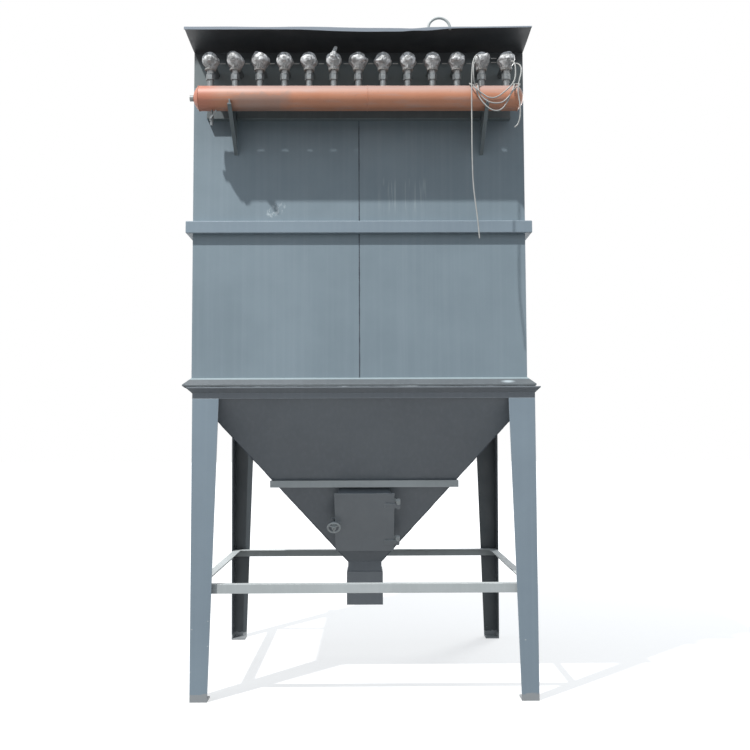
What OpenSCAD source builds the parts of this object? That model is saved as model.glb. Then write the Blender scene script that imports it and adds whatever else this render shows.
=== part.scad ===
// Pulse-jet bag dust collector: a sheet-steel casing on a four-legged base with
// a pyramid hopper, an air header with right-angle pulse valves, and a hopper door.
// +X is to the right, +Y to the rear, +Z up. The origin is on the ground in the
// middle of the four foot anchors. Millimetres.

/* [Base frame] */
// Width over the outer faces of the legs
base_w = 2400; // [1900:10:3000]
// Depth over the outer faces of the legs
base_d = 2100; // [1700:10:2800]
// Height of the joint between the base and the casing
base_top = 2160; // [1800:10:2800]
// Depth of the ring beam on top of the legs
ring_h = 80; // [60:1:140]
// How far the ring's flange stands out past the legs
ring_out = 35; // [20:1:60]
// Width of a leg's sides at the top
leg_top_w = 185; // [140:1:260]
// Width of a leg's sides at the foot
leg_foot_w = 120; // [100:1:160]
// Thickness of the folded leg plates
leg_t = 10; // [6:1:16]
// Side of the foot plate inside a leg's corner
foot_w = 110; // [90:1:140]
// Thickness of a foot plate
foot_t = 12; // [8:1:20]
// Radius of the anchor hole in a foot plate
anchor_r = 9; // [6:0.5:12]
// Height of the top of the leg braces
brace_top = 791; // [400:1:1100]
// Size of the angle bar of the braces
brace_size = 63; // [40:1:80]
// Thickness of the angle bar of the braces
brace_t = 5; // [4:1:8]
// Distance of the braces behind the legs' plates
brace_inset = 28; // [0:1:50]

/* [Casing] */
// Distance of the casing walls inside the legs' outer faces
casing_step = 20; // [10:1:25]
// How far the casing sits to the left of the base's middle
casing_left = 30; // [0:1:40]
// Height of the top of the casing walls
casing_top = 4566; // [4000:1:5400]
// Thickness of the casing sheets
sheet_t = 5; // [3:0.5:8]
// Thickness of the flange plate under the casing
flange_t = 6; // [4:1:12]
// How far the flange stands out past the casing walls
flange_out = 55; // [35:1:80]
// Height of the sloping cover over the flange
flange_cover_h = 54; // [30:1:90]
// Thickness of the seal between the two flanges
gasket_t = 6; // [3:1:10]
// Height of the top of the middle band
band_top = 3334; // [2900:1:3600]
// Height of the middle band
band_h = 87; // [60:1:120]
// How far the middle band stands out
band_out = 43; // [25:1:60]
// Depth of the tube sheet's upper side below the casing's top
tube_sheet_drop = 570; // [540:1:700]
// Outer diameter of the filter bags
bag_d = 130; // [100:1:140]
// Length of the filter bags
bag_l = 1650; // [1200:10:1770]
// Distance between bags in a row
bag_pitch = 175; // [150:1:180]
// Least distance of a bag's middle from the walls
bag_edge = 155; // [100:1:200]
// How far the rain canopy stands out in front
canopy_out = 390; // [250:5:600]
// Height of the canopy's front lip
canopy_lip = 20; // [10:1:40]
// Width of a roof lid
lid_w = 700; // [400:10:760]
// Depth of a roof lid
lid_d = 1560; // [800:10:1700]
// Height of a roof lid
lid_h = 50; // [30:1:90]
// Width of a lid's handle between its posts
handle_w = 140; // [100:5:200]
// Height of a lid's handle
handle_h = 45; // [35:1:70]

/* [Hopper] */
// Height of the hopper's lower edge
hopper_bottom = 831; // [500:1:1100]
// Width of the square outlet at the hopper's lower edge
neck_w = 264; // [180:2:400]
// Thickness of the hopper plates
hopper_t = 5; // [4:0.5:8]
// Height of the upper edge of the hopper's stiffener
rib_top = 1487; // [1420:1:1700]
// Height of the hopper's stiffener
rib_h = 50; // [30:1:70]
// Height of the step between the outlet neck and the discharge sleeve
sleeve_top = 739; // [600:1:800]
// Height of the lower end of the discharge sleeve
sleeve_bottom = 494; // [300:1:600]

/* [Hopper door] */
// Width of the hopper door
door_w = 444; // [360:1:480]
// Length of the hopper door along the slope
door_l = 560; // [460:1:600]
// Distance from the hopper's lower edge to the door, along the slope
door_low = 201; // [180:1:240]
// Height of the door's outer face above the hopper plate
door_out = 100; // [80:1:130]
// Thickness of the door plate
door_t = 6; // [5:0.5:10]
// Width of the door's neck
door_neck_w = 385; // [300:1:400]
// Diameter of the hinge pins
hinge_pin_d = 14; // [10:0.5:18]
// Clearance of a strap's eye around its pin, on the radius
hinge_clear = 0.3; // [0.2:0.05:0.5]
// Diameter of the door's handwheel
wheel_d = 104; // [80:1:140]
// Diameter of the handwheel's screw
screw_d = 16; // [12:0.5:20]

/* [Compressed air] */
// Distance between valves, and between rows of bags
valve_pitch = 170; // [150:1:175]
// Least distance of the outer valves from the casing's sides
valve_edge = 160; // [120:1:200]
// Depth of the valves' outlet axis below the casing's top
valve_drop = 168; // [130:1:180]
// Depth of the header's axis below the casing's top
header_drop = 428; // [410:1:460]
// Distance of the header's axis from the front wall
header_out = 255; // [220:1:300]
// Outer diameter of the header
header_d = 168; // [140:1:200]
// Length of the header's pipe past the outer valves
header_over = 75; // [50:5:85]
// Wall thickness of the header
header_t = 6; // [4:0.5:10]
// Outer diameter of the blow pipes
blow_d = 48; // [34:1:50]
// Wall thickness of the blow pipes
blow_t = 3.2; // [2:0.1:5]
// Distance of the header brackets from the outer valves
bracket_in = 145; // [105:5:400]
// Depth of a bracket's lower tip below the casing's top
bracket_tip_drop = 751; // [650:1:850]
// How much shorter the rail behind the header is than the header's pipe
rail_short = 36; // [0:2:100]
// Depth of the rail's lower side below the casing's top
rail_drop = 502; // [490:1:520]
// Height of the rail
rail_h = 75; // [50:1:100]
// How far the rail stands out from the front wall
rail_out = 60; // [40:1:100]
// Distance of the drain cock from the left end of the header's pipe
drain_in = 85; // [40:5:150]

/* [Ducts on the rear] */
// Width of the inlet and the outlet
duct_w = 600; // [300:10:900]
// Height of the dusty air inlet
inlet_h = 350; // [200:10:500]
// Height of the middle of the inlet
inlet_z = 2690; // [2500:10:2900]
// Height of the clean air outlet
outlet_h = 280; // [200:10:320]
// Depth of the middle of the outlet below the casing's top
outlet_drop = 366; // [340:1:380]
// Length of the duct stubs
duct_l = 120; // [80:5:200]
// Width of the duct flanges
duct_flange = 40; // [30:1:60]
// Radius of the duct flanges' bolt holes
duct_hole_r = 6; // [4:0.5:8]

/* [Hidden] */
$fn = 48;

steel_blue = "#82909a";
shade_blue = "#5a6370";
brace_grey = "#b0b8bc";
oxide_orange = "#a8694c";
film_grey = "#9a9a98";
galvanised = "#aab0b2";
seal_grey = "#3c4045";
cable_grey = "#9a9a98";

// Seats that touch face to face are this far apart
seat = 0.2;
bag_clear = 0.6;
casing_w = base_w - 2 * casing_step;
casing_d = base_d - 2 * casing_step;
casing_bottom = base_top + gasket_t;
tube_sheet_z = casing_top - tube_sheet_drop;
bag_count = floor((casing_d - 2 * bag_edge) / bag_pitch) + 1;
outlet_z = casing_top - outlet_drop;
ring_bottom = base_top - ring_h;
front_y = -casing_d / 2;
wall_h = casing_top - casing_bottom;
valve_z = casing_top - valve_drop;
header_z = casing_top - header_drop;
panel_z = header_z + 170;
roof_t = 5;

// Hopper: the outer faces start just inside the ring beam and run to the neck
hopper_lift = 20;
hopper_top = ring_bottom + hopper_lift;
hopper_top_w = base_w - 2 * leg_t - 2 * seat;
hopper_top_d = base_d - 2 * leg_t - 2 * seat;
hopper_rise = hopper_top - hopper_bottom;
front_run = (hopper_top_d - neck_w) / 2;
side_run = (hopper_top_w - neck_w) / 2;
front_slope = atan2(hopper_rise, front_run);
side_slope = atan2(hopper_rise, side_run);
front_slant = sqrt(hopper_rise * hopper_rise + front_run * front_run);
side_slant = sqrt(hopper_rise * hopper_rise + side_run * side_run);

// Hopper door, in the plane of the front hopper plate
neck_low = door_low + 27;
neck_high = door_low + door_l - 24;
neck_t = 6;
door_gasket = 6;
neck_h = door_out - door_t - door_gasket;
hinge_x = door_w / 2 + 30;
hinge_n = door_out + 4;
strap_t = 8;
strap_w = 40;
strap_l = 100;
eye_d = hinge_pin_d + 16;
hinge_low = door_low + 91;
hinge_high = door_low + 448;
knuckle_l = 35;
wheel_x = -door_w / 2 - 8;
wheel_q = door_low + 270;
wheel_n = door_out + 42;
lug_w = 44;
lug_rise = 6;
screw_clear = 0.4;
catch_n = 52;
catch_t = 14;
catch_clear = 5;

// Compressed air. The casing's width gives the number of valves.
valve_count = floor((casing_w - 2 * valve_edge) / valve_pitch) + 1;
valve_x = [for (i = [0:valve_count - 1]) (i - (valve_count - 1) / 2) * valve_pitch];
last_x = (valve_count - 1) / 2 * valve_pitch;
header_l = 2 * (last_x + header_over);
header_y = front_y - header_out;
bracket_x = last_x - bracket_in;
bracket_tip_z = casing_top - bracket_tip_drop;
rail_l = header_l - rail_short;
rail_z = casing_top - rail_drop;
drain_x = header_l / 2 - drain_in;
header_r = header_d / 2;
dish_h = 40;
dish_r = (header_r * header_r + dish_h * dish_h) / (2 * dish_h);
nipple_d = 42;
nut_flats = 52;
nut_low = header_z + header_r + 44;
nut_h = 42;
body_r = 50;
wrap_r = 68;
wrap_t = 1.5;
wrap_shift = 7;
wrap_neck_r = 36;
wrap_neck_z = valve_z - 73;

// Cable routes, points chosen by hand
cable_d = 9;
drop_route = [[791, -1354, 4404], [780, -1374, 4405], [770, -1388, 4396], [758, -1396, 4374],
    [748, -1402, 4340], [742, -1407, 4295], [738, -1410, 4230], [737, -1411, 4140],
    [736, -1410, 4020], [736, -1408, 3890], [736, -1405, 3760], [738, -1403, 3630],
    [742, -1401, 3520], [751, -1399, 3420], [763, -1398, 3320], [774, -1397, 3220],
    [781, -1396, 3135]];
loop_route = [[1017, -1350, 4373], [1028, -1374, 4362], [1036, -1392, 4330], [1037, -1402, 4280],
    [1030, -1408, 4225], [1004, -1411, 4180], [958, -1411, 4137], [901, -1411, 4099],
    [850, -1411, 4099], [802, -1411, 4130], [766, -1409, 4160], [744, -1396, 4186],
    [732, -1370, 4206], [732, -1335, 4223], [742, -1302, 4230], [764, -1288, 4230],
    [782, -1306, 4230], [785, -1342, 4218], [783, -1374, 4190], [786, -1396, 4150],
    [808, -1401, 4107], [850, -1401, 4073], [900, -1401, 4062], [950, -1400, 4072],
    [992, -1396, 4112], [1018, -1388, 4158], [1030, -1370, 4192], [1034, -1342, 4217],
    [1046, -1308, 4230], [1064, -1306, 4230], [1074, -1334, 4221], [1066, -1362, 4199],
    [1036, -1385, 4170], [1005, -1391, 4128], [980, -1391, 4076], [945, -1391, 4028],
    [905, -1391, 4013], [860, -1391, 4028], [812, -1391, 4075], [778, -1388, 4135],
    [760, -1386, 4200], [754, -1384, 4265], [754, -1378, 4320], [761, -1363, 4356],
    [776, -1340, 4373]];
tail_route = [[1050, -1313, 4373], [1067, -1320, 4367], [1079, -1336, 4350], [1083, -1358, 4320],
    [1078, -1379, 4280], [1066, -1396, 4235], [1056, -1403, 4190], [1052, -1404, 4145],
    [1057, -1403, 4100], [1064, -1402, 4055], [1066, -1401, 4005], [1061, -1400, 3955],
    [1047, -1400, 3915], [1026, -1400, 3896]];

// ---- Shared shapes ----

// One bar of a rectangular frame, on the front side of a w by d rectangle. The
// profile's first value is the distance outwards and its second the height.
module frame_bar(w, d, profile) {
    reach = 400;
    inside = 120;
    outside = 120;
    intersection() {
        translate([-w / 2 - reach, -d / 2, 0])
            rotate([90, 0, 90])
                linear_extrude(w + 2 * reach)
                    polygon([for (p = profile) [-p[0], p[1]]]);
        translate([0, 0, -10])
            linear_extrude(20000)
                polygon([[-w / 2 + inside + seat, -d / 2 + inside],
                    [w / 2 - inside - seat, -d / 2 + inside],
                    [w / 2 + outside - seat, -d / 2 - outside],
                    [-w / 2 - outside + seat, -d / 2 - outside]]);
    }
}

// Four mitred bars round a w by d rectangle
module frame_bars(w, d, profile) {
    for (side = [0:3])
        rotate([0, 0, 90 * side])
            frame_bar(side % 2 == 0 ? w : d, side % 2 == 0 ? d : w, profile);
}

// A flat plate on the front slope of a pyramid. Its lower edge is bottom_w wide and
// run_y from the middle at height low, and it rises along the slope at the given angle.
module slope_plate(bottom_w, top_w, slant, angle, run_y, low, t) {
    translate([0, -run_y, low])
        rotate([180 - angle, 0, 0])
            translate([0, 0, -t])
                linear_extrude(t)
                    polygon([[-bottom_w / 2, 0], [bottom_w / 2, 0], [top_w / 2, slant], [-top_w / 2, slant]]);
}

// Puts a shape drawn with X across, Y up the slope and Z outwards on the front hopper plate
module on_front_slope() {
    translate([0, -neck_w / 2, hopper_bottom])
        rotate([180 - front_slope, 0, 0])
            children();
}

// A square tube of four plates round the Z axis
module square_sleeve(w, t, low, high) {
    difference() {
        translate([-w / 2, -w / 2, low]) cube([w, w, high - low]);
        translate([-w / 2 + t, -w / 2 + t, low - 1]) cube([w - 2 * t, w - 2 * t, high - low + 2]);
    }
}

// A round tube swept along the points of a route
function unit(v) = v / norm(v);
function route_dir(route, i) =
    unit(route[min(i + 1, len(route) - 1)] - route[max(i - 1, 0)]);
function side_of(dir) = unit(cross(dir, abs(dir[2]) > 0.9 ? [0, 1, 0] : [0, 0, 1]));
function carried_side(route, i) =
    i == 0 ? side_of(route_dir(route, 0)) :
    let (before = carried_side(route, i - 1), dir = route_dir(route, i))
        unit(before - (before * dir) * dir);
module swept_tube(route, r, sides = 8) {
    rings = [for (i = [0:len(route) - 1])
        let (dir = route_dir(route, i), a = carried_side(route, i), b = cross(dir, a))
            [for (k = [0:sides - 1]) route[i] + r * (cos(360 * k / sides) * a + sin(360 * k / sides) * b)]];
    last = (len(route) - 1) * sides;
    polyhedron(
        points = [for (ring = rings) each ring],
        faces = concat(
            [[for (k = [sides - 1:-1:0]) k]],
            [[for (k = [0:sides - 1]) last + k]],
            [for (i = [0:len(route) - 2], k = [0:sides - 1])
                let (n = (k + 1) % sides, low = i * sides)
                    [low + k, low + n, low + sides + n, low + sides + k]]));
}

// ---- Base frame ----

// A leg folded from plate, with its corner outside. The sides taper down to the foot.
module leg(side_x, side_y) {
    color(steel_blue)
    mirror([side_x < 0 ? 1 : 0, 0, 0])
    mirror([0, side_y < 0 ? 1 : 0, 0])
    intersection() {
        difference() {
            translate([base_w / 2 - leg_top_w, base_d / 2 - leg_top_w, 0])
                cube([leg_top_w, leg_top_w, ring_bottom - seat]);
            translate([base_w / 2 - leg_top_w - leg_t, base_d / 2 - leg_top_w - leg_t, -1])
                cube([leg_top_w, leg_top_w, ring_bottom + 1]);
        }
        translate([0, base_d, 0]) rotate([90, 0, 0]) linear_extrude(2 * base_d)
            polygon([[base_w / 2 - leg_foot_w, -1], [base_w / 2 + 1, -1],
                [base_w / 2 + 1, ring_bottom], [base_w / 2 - leg_top_w, ring_bottom]]);
        rotate([90, 0, 90]) linear_extrude(2 * base_w)
            polygon([[base_d / 2 - leg_foot_w, -1], [base_d / 2 + 1, -1],
                [base_d / 2 + 1, ring_bottom], [base_d / 2 - leg_top_w, ring_bottom]]);
    }
}
module legs() {
    for (x = [-1, 1], y = [-1, 1]) leg(x, y);
}

// Plates with one anchor hole each, welded inside the legs' corners
module foot_plates() {
    inset = leg_t + foot_w / 2;
    side = foot_w - 2 * seat;
    color(shade_blue)
    for (x = [-1, 1], y = [-1, 1])
        translate([x * (base_w / 2 - inset), y * (base_d / 2 - inset), 0])
            difference() {
                translate([-side / 2, -side / 2, 0]) cube([side, side, foot_t]);
                translate([0, 0, -1]) cylinder(r = anchor_r, h = foot_t + 2);
            }
}

// An angle bar along X, its corner at the origin, its sides towards +Y and down
module angle_bar(l, size, t) {
    translate([-l / 2, 0, 0])
        rotate([90, 0, 90])
            linear_extrude(l)
                polygon([[0, -size], [t, -size], [t, -t], [size, -t], [size, 0], [0, 0]]);
}

// Front and rear braces reach from side to side; the side braces butt against them
module long_brace() {
    color(brace_grey)
    translate([0, -base_d / 2 + leg_t + brace_inset, brace_top])
        angle_bar(base_w - 2 * leg_t - 2 * seat, brace_size, brace_t);
}
module short_brace() {
    color(brace_grey)
    rotate([0, 0, 90])
        translate([0, -base_w / 2 + leg_t + seat, brace_top])
            angle_bar(base_d - 2 * (leg_t + brace_inset + brace_size + seat), brace_size, brace_t);
}
module braces() {
    for (turn = [0, 180])
        rotate([0, 0, turn]) {
            long_brace();
            short_brace();
        }
}

// The ring beam: a web over the legs, a flange for the casing and a sloping stiffener under it
module ring_beam() {
    flange = 8;
    color(shade_blue)
    frame_bars(base_w, base_d, [
        [ring_out, base_top], [ring_out, base_top - flange], [0, base_top - flange - ring_out],
        [0, ring_bottom], [-leg_t, ring_bottom], [-leg_t, base_top - flange],
        [-leg_t - 50, base_top - flange], [-leg_t - 50, base_top]]);
}

// ---- Casing ----

module on_casing() {
    translate([-casing_left, 0, 0]) children();
}

// The flange under the casing, with a sloping rain cover over it
module casing_flange() {
    low = casing_bottom;
    tip = low + flange_t + 6;
    top = low + flange_t + flange_cover_h;
    skin = 4;
    color(steel_blue)
    on_casing()
        frame_bars(casing_w + 2 * seat, casing_d + 2 * seat, [
            [0, top], [flange_out, tip], [flange_out, low], [0, low], [0, low + flange_t],
            [flange_out - skin, low + flange_t], [flange_out - skin, tip - 2], [0, top - skin - 2]]);
}

module flange_gasket() {
    margin = 12;
    color(seal_grey)
    on_casing()
        frame_bars(casing_w, casing_d, [
            [flange_out - margin, casing_bottom - seat / 2], [flange_out - margin, base_top + seat / 2],
            [-sheet_t - 2, base_top + seat / 2], [-sheet_t - 2, casing_bottom - seat / 2]]);
}

// Two front sheets that meet on the casing's middle line
module front_wall() {
    color(steel_blue)
    on_casing()
        for (side = [0, 1])
            mirror([side, 0, 0])
                translate([seat, front_y, casing_bottom])
                    cube([casing_w / 2 - seat, sheet_t, panel_z - casing_bottom - seat]);
}

// The top strip of the front wall, with the holes of the blow pipes
module valve_panel() {
    color(steel_blue)
    on_casing()
        difference() {
            translate([-casing_w / 2, front_y, panel_z]) cube([casing_w, sheet_t, casing_top - panel_z]);
            for (x = valve_x)
                translate([x, front_y - 1, valve_z])
                    rotate([-90, 0, 0]) cylinder(d = blow_d + 2 * seat, h = sheet_t + 2);
        }
}

module side_sheet() {
    translate([casing_w / 2 - sheet_t, front_y + sheet_t + seat, casing_bottom])
        cube([sheet_t, casing_d - 2 * sheet_t - 2 * seat, wall_h]);
}
module side_walls() {
    color(steel_blue)
    on_casing()
        for (side = [0, 1]) mirror([side, 0, 0]) side_sheet();
}

// The rear wall: a sheet on each side and three between them, round the two ducts
module rear_wall() {
    side_w = (casing_w - duct_w) / 2;
    inlet_low = inlet_z - inlet_h / 2;
    inlet_high = inlet_z + inlet_h / 2;
    outlet_low = outlet_z - outlet_h / 2;
    outlet_high = outlet_z + outlet_h / 2;
    color(steel_blue)
    on_casing()
    translate([0, -front_y - sheet_t, 0]) {
        for (side = [0, 1])
            mirror([side, 0, 0])
                translate([duct_w / 2 + seat, 0, casing_bottom])
                    cube([side_w - seat, sheet_t, wall_h]);
        for (band = [[casing_bottom, inlet_low], [inlet_high, outlet_low], [outlet_high, casing_top]])
            translate([-duct_w / 2, 0, band[0]]) cube([duct_w, sheet_t, band[1] - band[0]]);
    }
}

// A channel-shaped band round the casing at mid height
module middle_band() {
    t = 5;
    low = band_top - band_h;
    round = 4;
    color(steel_blue)
    on_casing()
        frame_bars(casing_w + 2 * seat, casing_d + 2 * seat, [
            [0, band_top], [band_out - round, band_top], [band_out, band_top - round],
            [band_out, low + round], [band_out - round, low], [0, low], [0, low + t],
            [band_out - t, low + t], [band_out - t, band_top - t], [0, band_top - t]]);
}

// Puts a shape at the place of every filter bag
module at_bags() {
    on_casing()
        for (x = valve_x, i = [0:bag_count - 1])
            translate([x, (i - (bag_count - 1) / 2) * bag_pitch, tube_sheet_z]) children();
}

// The plate the filter bags hang from, with a hole for each
module tube_sheet() {
    t = 6;
    edge = sheet_t + seat;
    color(galvanised)
    difference() {
        on_casing()
            translate([-casing_w / 2 + edge, front_y + edge, tube_sheet_z - t])
                cube([casing_w - 2 * edge, casing_d - 2 * edge, t]);
        at_bags() translate([0, 0, -t - 1]) cylinder(r = bag_d / 2 + bag_clear, h = t + 2);
    }
}

// Filter bags, closed at the bottom, each hanging by a collar on the tube sheet
module filter_bags() {
    wall = 2.5;
    collar = 9;
    r = bag_d / 2;
    color(film_grey)
    at_bags()
        rotate_extrude()
            polygon([[0, -bag_l], [r, -bag_l], [r, seat], [r + collar, seat], [r + collar, 5],
                [r - wall, 5], [r - wall, wall - bag_l], [0, wall - bag_l]]);
}

module roof_plate() {
    color(steel_blue)
    on_casing()
        translate([-casing_w / 2, front_y, casing_top + seat])
            cube([casing_w, casing_d, roof_t]);
}

// Puts a shape on the roof at the place of each lid
module at_lids() {
    gap = 60;
    on_casing()
        for (i = [-1, 0, 1])
            translate([i * (lid_w + gap), 0, casing_top + roof_t + 2 * seat]) children();
}

// Lift-off lids over the bags
module roof_lids() {
    t = 4;
    color(steel_blue)
    at_lids()
        difference() {
            translate([-lid_w / 2, -lid_d / 2, 0]) cube([lid_w, lid_d, lid_h]);
            translate([-lid_w / 2 + t, -lid_d / 2 + t, -1])
                cube([lid_w - 2 * t, lid_d - 2 * t, lid_h - t + 1]);
        }
}

// Two handles on each lid, each a grip welded on two posts
module lid_handles() {
    bar_r = 6;
    grip_l = handle_w + 2 * bar_r;
    color(steel_blue)
    at_lids()
        for (y = [-1, 1])
            translate([0, y * lid_d / 3, lid_h + seat]) {
                for (x = [-1, 1])
                    translate([x * handle_w / 2, 0, 0]) cylinder(r = bar_r, h = handle_h - 2 * bar_r - seat);
                translate([-grip_l / 2, 0, handle_h - bar_r])
                    rotate([0, 90, 0]) cylinder(r = bar_r, h = grip_l);
            }
}

// The rain canopy over the valves, a sheet with a turned-down lip
module canopy() {
    t = 4;
    color(shade_blue)
    on_casing()
        difference() {
            translate([-casing_w / 2, front_y - canopy_out, casing_top + roof_t - canopy_lip])
                cube([casing_w, canopy_out - seat, canopy_lip]);
            translate([-casing_w / 2 + t, front_y - canopy_out + t, casing_top + roof_t - canopy_lip - 1])
                cube([casing_w - 2 * t, canopy_out + 1, canopy_lip - t + 1]);
        }
}

// A lifting loop of round bar on the canopy's front edge
module roof_loop() {
    loop_x = 550;
    loop_r = 74;
    bar_r = 9;
    foot = 6;
    color(shade_blue)
    on_casing()
        translate([loop_x, front_y - canopy_out + 14, casing_top + roof_t + seat])
            rotate([90, 0, 0]) {
                translate([0, foot, 0]) rotate_extrude(angle = 180) translate([loop_r, 0]) circle(r = bar_r);
                for (x = [-1, 1])
                    translate([x * loop_r, foot, 0]) rotate([90, 0, 0]) cylinder(r = bar_r, h = foot);
            }
}

// ---- Hopper ----

// The front plate in four pieces round the door's neck
module hopper_front() {
    half_low = neck_w / 2;
    half_high = hopper_top_w / 2;
    door_half = door_neck_w / 2 - neck_t;
    low = neck_low + neck_t;
    high = neck_high - neck_t;
    split = low / front_slant;
    half_split = half_low + (half_high - half_low) * split;
    color(shade_blue)
    on_front_slope()
    translate([0, 0, -hopper_t])
    linear_extrude(hopper_t) {
        polygon([[-half_low, 0], [half_low, 0], [half_split, low], [-half_split, low]]);
        for (side = [-1, 1])
            polygon([[side * door_half, low + seat], [side * half_split, low + seat],
                [side * half_high, front_slant], [side * door_half, front_slant]]);
        translate([-door_half + seat, high]) square([2 * door_half - 2 * seat, front_slant - high]);
    }
}

module hopper_rear() {
    color(shade_blue)
    rotate([0, 0, 180])
        slope_plate(neck_w, hopper_top_w, front_slant, front_slope, neck_w / 2, hopper_bottom, hopper_t);
}

// A side plate, cut along the inner faces of the front and rear plates
module hopper_side() {
    margin = 20;
    low = neck_w / 2 - hopper_t / sin(front_slope) - seat;
    high = low + front_run;
    grow = front_run * margin / hopper_rise;
    intersection() {
        slope_plate(neck_w, hopper_top_d, side_slant, side_slope, neck_w / 2, hopper_bottom, hopper_t);
        rotate([90, 0, 0])
            linear_extrude(hopper_top_w)
                polygon([[grow - low, hopper_bottom - margin], [low - grow, hopper_bottom - margin],
                    [high + grow, hopper_top + margin], [-high - grow, hopper_top + margin]]);
    }
}
module hopper_sides() {
    color(shade_blue)
    for (turn = [-90, 90]) rotate([0, 0, turn]) hopper_side();
}

// An angle bar round the hopper, welded across its slopes
module hopper_stiffener() {
    share = (rib_top - hopper_bottom) / hopper_rise;
    share_low = (rib_top - rib_h - hopper_bottom) / hopper_rise;
    w = neck_w + 2 * side_run * share;
    d = neck_w + 2 * front_run * share;
    back_front = front_run * (share - share_low);
    back_side = side_run * (share - share_low);
    out = 20;
    t = 5;
    color(shade_blue)
    for (side = [0:3])
        rotate([0, 0, 90 * side]) {
            back = side % 2 == 0 ? back_front : back_side;
            frame_bar(side % 2 == 0 ? w : d, side % 2 == 0 ? d : w, [
                [seat, rib_top], [out, rib_top], [out, rib_top - rib_h], [seat - back, rib_top - rib_h],
                [seat - back + t, rib_top - rib_h + t], [out - t, rib_top - rib_h + t],
                [out - t, rib_top - t], [seat, rib_top - t]]);
        }
}

module outlet_neck() {
    color(shade_blue) square_sleeve(neck_w, hopper_t, sleeve_top, hopper_bottom - seat);
}

// The sleeve under the neck, with a shoulder that closes round the neck
module discharge_sleeve() {
    grow = 20;
    t = 6;
    shoulder = 12;
    color(steel_blue) {
        square_sleeve(neck_w + grow, t, sleeve_bottom, sleeve_top);
        square_sleeve(neck_w + grow, grow / 2 - seat, sleeve_top - 1, sleeve_top + shoulder);
    }
}

// ---- Hopper door ----

// The door's neck: four plates standing on the hopper plate
module door_neck() {
    w = door_neck_w;
    l = neck_high - neck_low;
    color(shade_blue)
    on_front_slope()
    translate([0, 0, seat])
    linear_extrude(neck_h - seat) {
        for (side = [0, 1])
            mirror([side, 0])
                translate([w / 2 - neck_t, neck_low]) square([neck_t, l]);
        for (q = [neck_low, neck_high - neck_t])
            translate([-w / 2 + neck_t + seat, q]) square([w - 2 * neck_t - 2 * seat, neck_t]);
    }
}

// Hinge brackets on the neck's right side, each with its knuckle and pin
module hinge_brackets() {
    ear_t = 12;
    pin_l = knuckle_l + strap_w + 4;
    color(shade_blue)
    on_front_slope()
        for (q = [hinge_low, hinge_high]) {
            translate([0, q + strap_w / 2 + 1, 0])
                rotate([-90, 0, 0]) {
                    linear_extrude(ear_t)
                        polygon([[door_neck_w / 2 + seat, -20], [door_neck_w / 2 + seat, 8 - neck_h],
                            [hinge_x, 4 - hinge_n], [hinge_x + 9, 10 - hinge_n]]);
                    translate([hinge_x, -hinge_n, 0]) cylinder(d = eye_d, h = knuckle_l);
                }
            translate([hinge_x, q - strap_w / 2 - 3, hinge_n])
                rotate([-90, 0, 0]) cylinder(d = hinge_pin_d, h = pin_l);
        }
}

// The fork on the neck's left side that the handwheel's screw swings into
module screw_catch() {
    root_l = 20;
    reach = -wheel_x + 22 - door_neck_w / 2 - seat;
    slot = screw_d + 2 * catch_clear;
    prong_w = (lug_w - slot) / 2;
    color(shade_blue)
    on_front_slope()
        translate([-door_neck_w / 2 - seat, wheel_q, catch_n]) {
            translate([-root_l, -lug_w / 2, 0]) cube([root_l, lug_w, catch_t]);
            for (y = [-lug_w / 2, slot / 2])
                translate([-reach, y, 0]) cube([reach - root_l - seat, prong_w, catch_t]);
        }
}

// The door plate with its strap hinges and the lug for the handwheel's screw
module hopper_door() {
    color(steel_blue)
    on_front_slope()
        difference() {
            union() {
                translate([-door_w / 2, door_low, door_out - door_t]) cube([door_w, door_l, door_t]);
                for (q = [hinge_low, hinge_high]) {
                    translate([hinge_x - strap_l, q - strap_w / 2, door_out - 1])
                        cube([strap_l, strap_w, strap_t + 1]);
                    translate([hinge_x, q - strap_w / 2, hinge_n])
                        rotate([-90, 0, 0]) cylinder(d = eye_d, h = strap_w);
                }
                translate([wheel_x - 22, wheel_q - lug_w / 2, door_out - door_t])
                    cube([70, lug_w, door_t + lug_rise]);
            }
            for (q = [hinge_low, hinge_high])
                translate([hinge_x, q - strap_w / 2 - 1, hinge_n])
                    rotate([-90, 0, 0]) cylinder(r = hinge_pin_d / 2 + hinge_clear, h = strap_w + 2);
            translate([wheel_x, wheel_q, door_out - door_t - 1])
                cylinder(r = screw_d / 2 + screw_clear, h = door_t + lug_rise + 2);
        }
}

// The seal between the door plate and its neck
module door_gasket() {
    rim = 14;
    color(seal_grey)
    on_front_slope()
        translate([-door_neck_w / 2, neck_low, neck_h + seat])
            difference() {
                cube([door_neck_w, neck_high - neck_low, door_gasket - 2 * seat]);
                translate([rim, rim, -1])
                    cube([door_neck_w - 2 * rim, neck_high - neck_low - 2 * rim, door_gasket + 2]);
            }
}

module at_wheel() {
    on_front_slope() translate([wheel_x, wheel_q, 0]) children();
}

// The handwheel: a rim on three spokes round a hub
module handwheel() {
    rim_r = 7;
    spoke_r = 5;
    hub_r = 15;
    hub_low = door_out + lug_rise + seat;
    hub_l = wheel_n + 14 - hub_low;
    color(steel_blue)
    at_wheel()
        difference() {
            union() {
                translate([0, 0, wheel_n]) {
                    rotate_extrude() translate([wheel_d / 2 - rim_r, 0]) circle(r = rim_r);
                    for (a = [30, 150, 270])
                        rotate([0, 90, a]) cylinder(r = spoke_r, h = wheel_d / 2 - rim_r);
                }
                translate([0, 0, hub_low]) cylinder(r = hub_r, h = hub_l);
            }
            translate([0, 0, hub_low - 1]) cylinder(r = screw_d / 2 + seat, h = hub_l + 2);
        }
}

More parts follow.
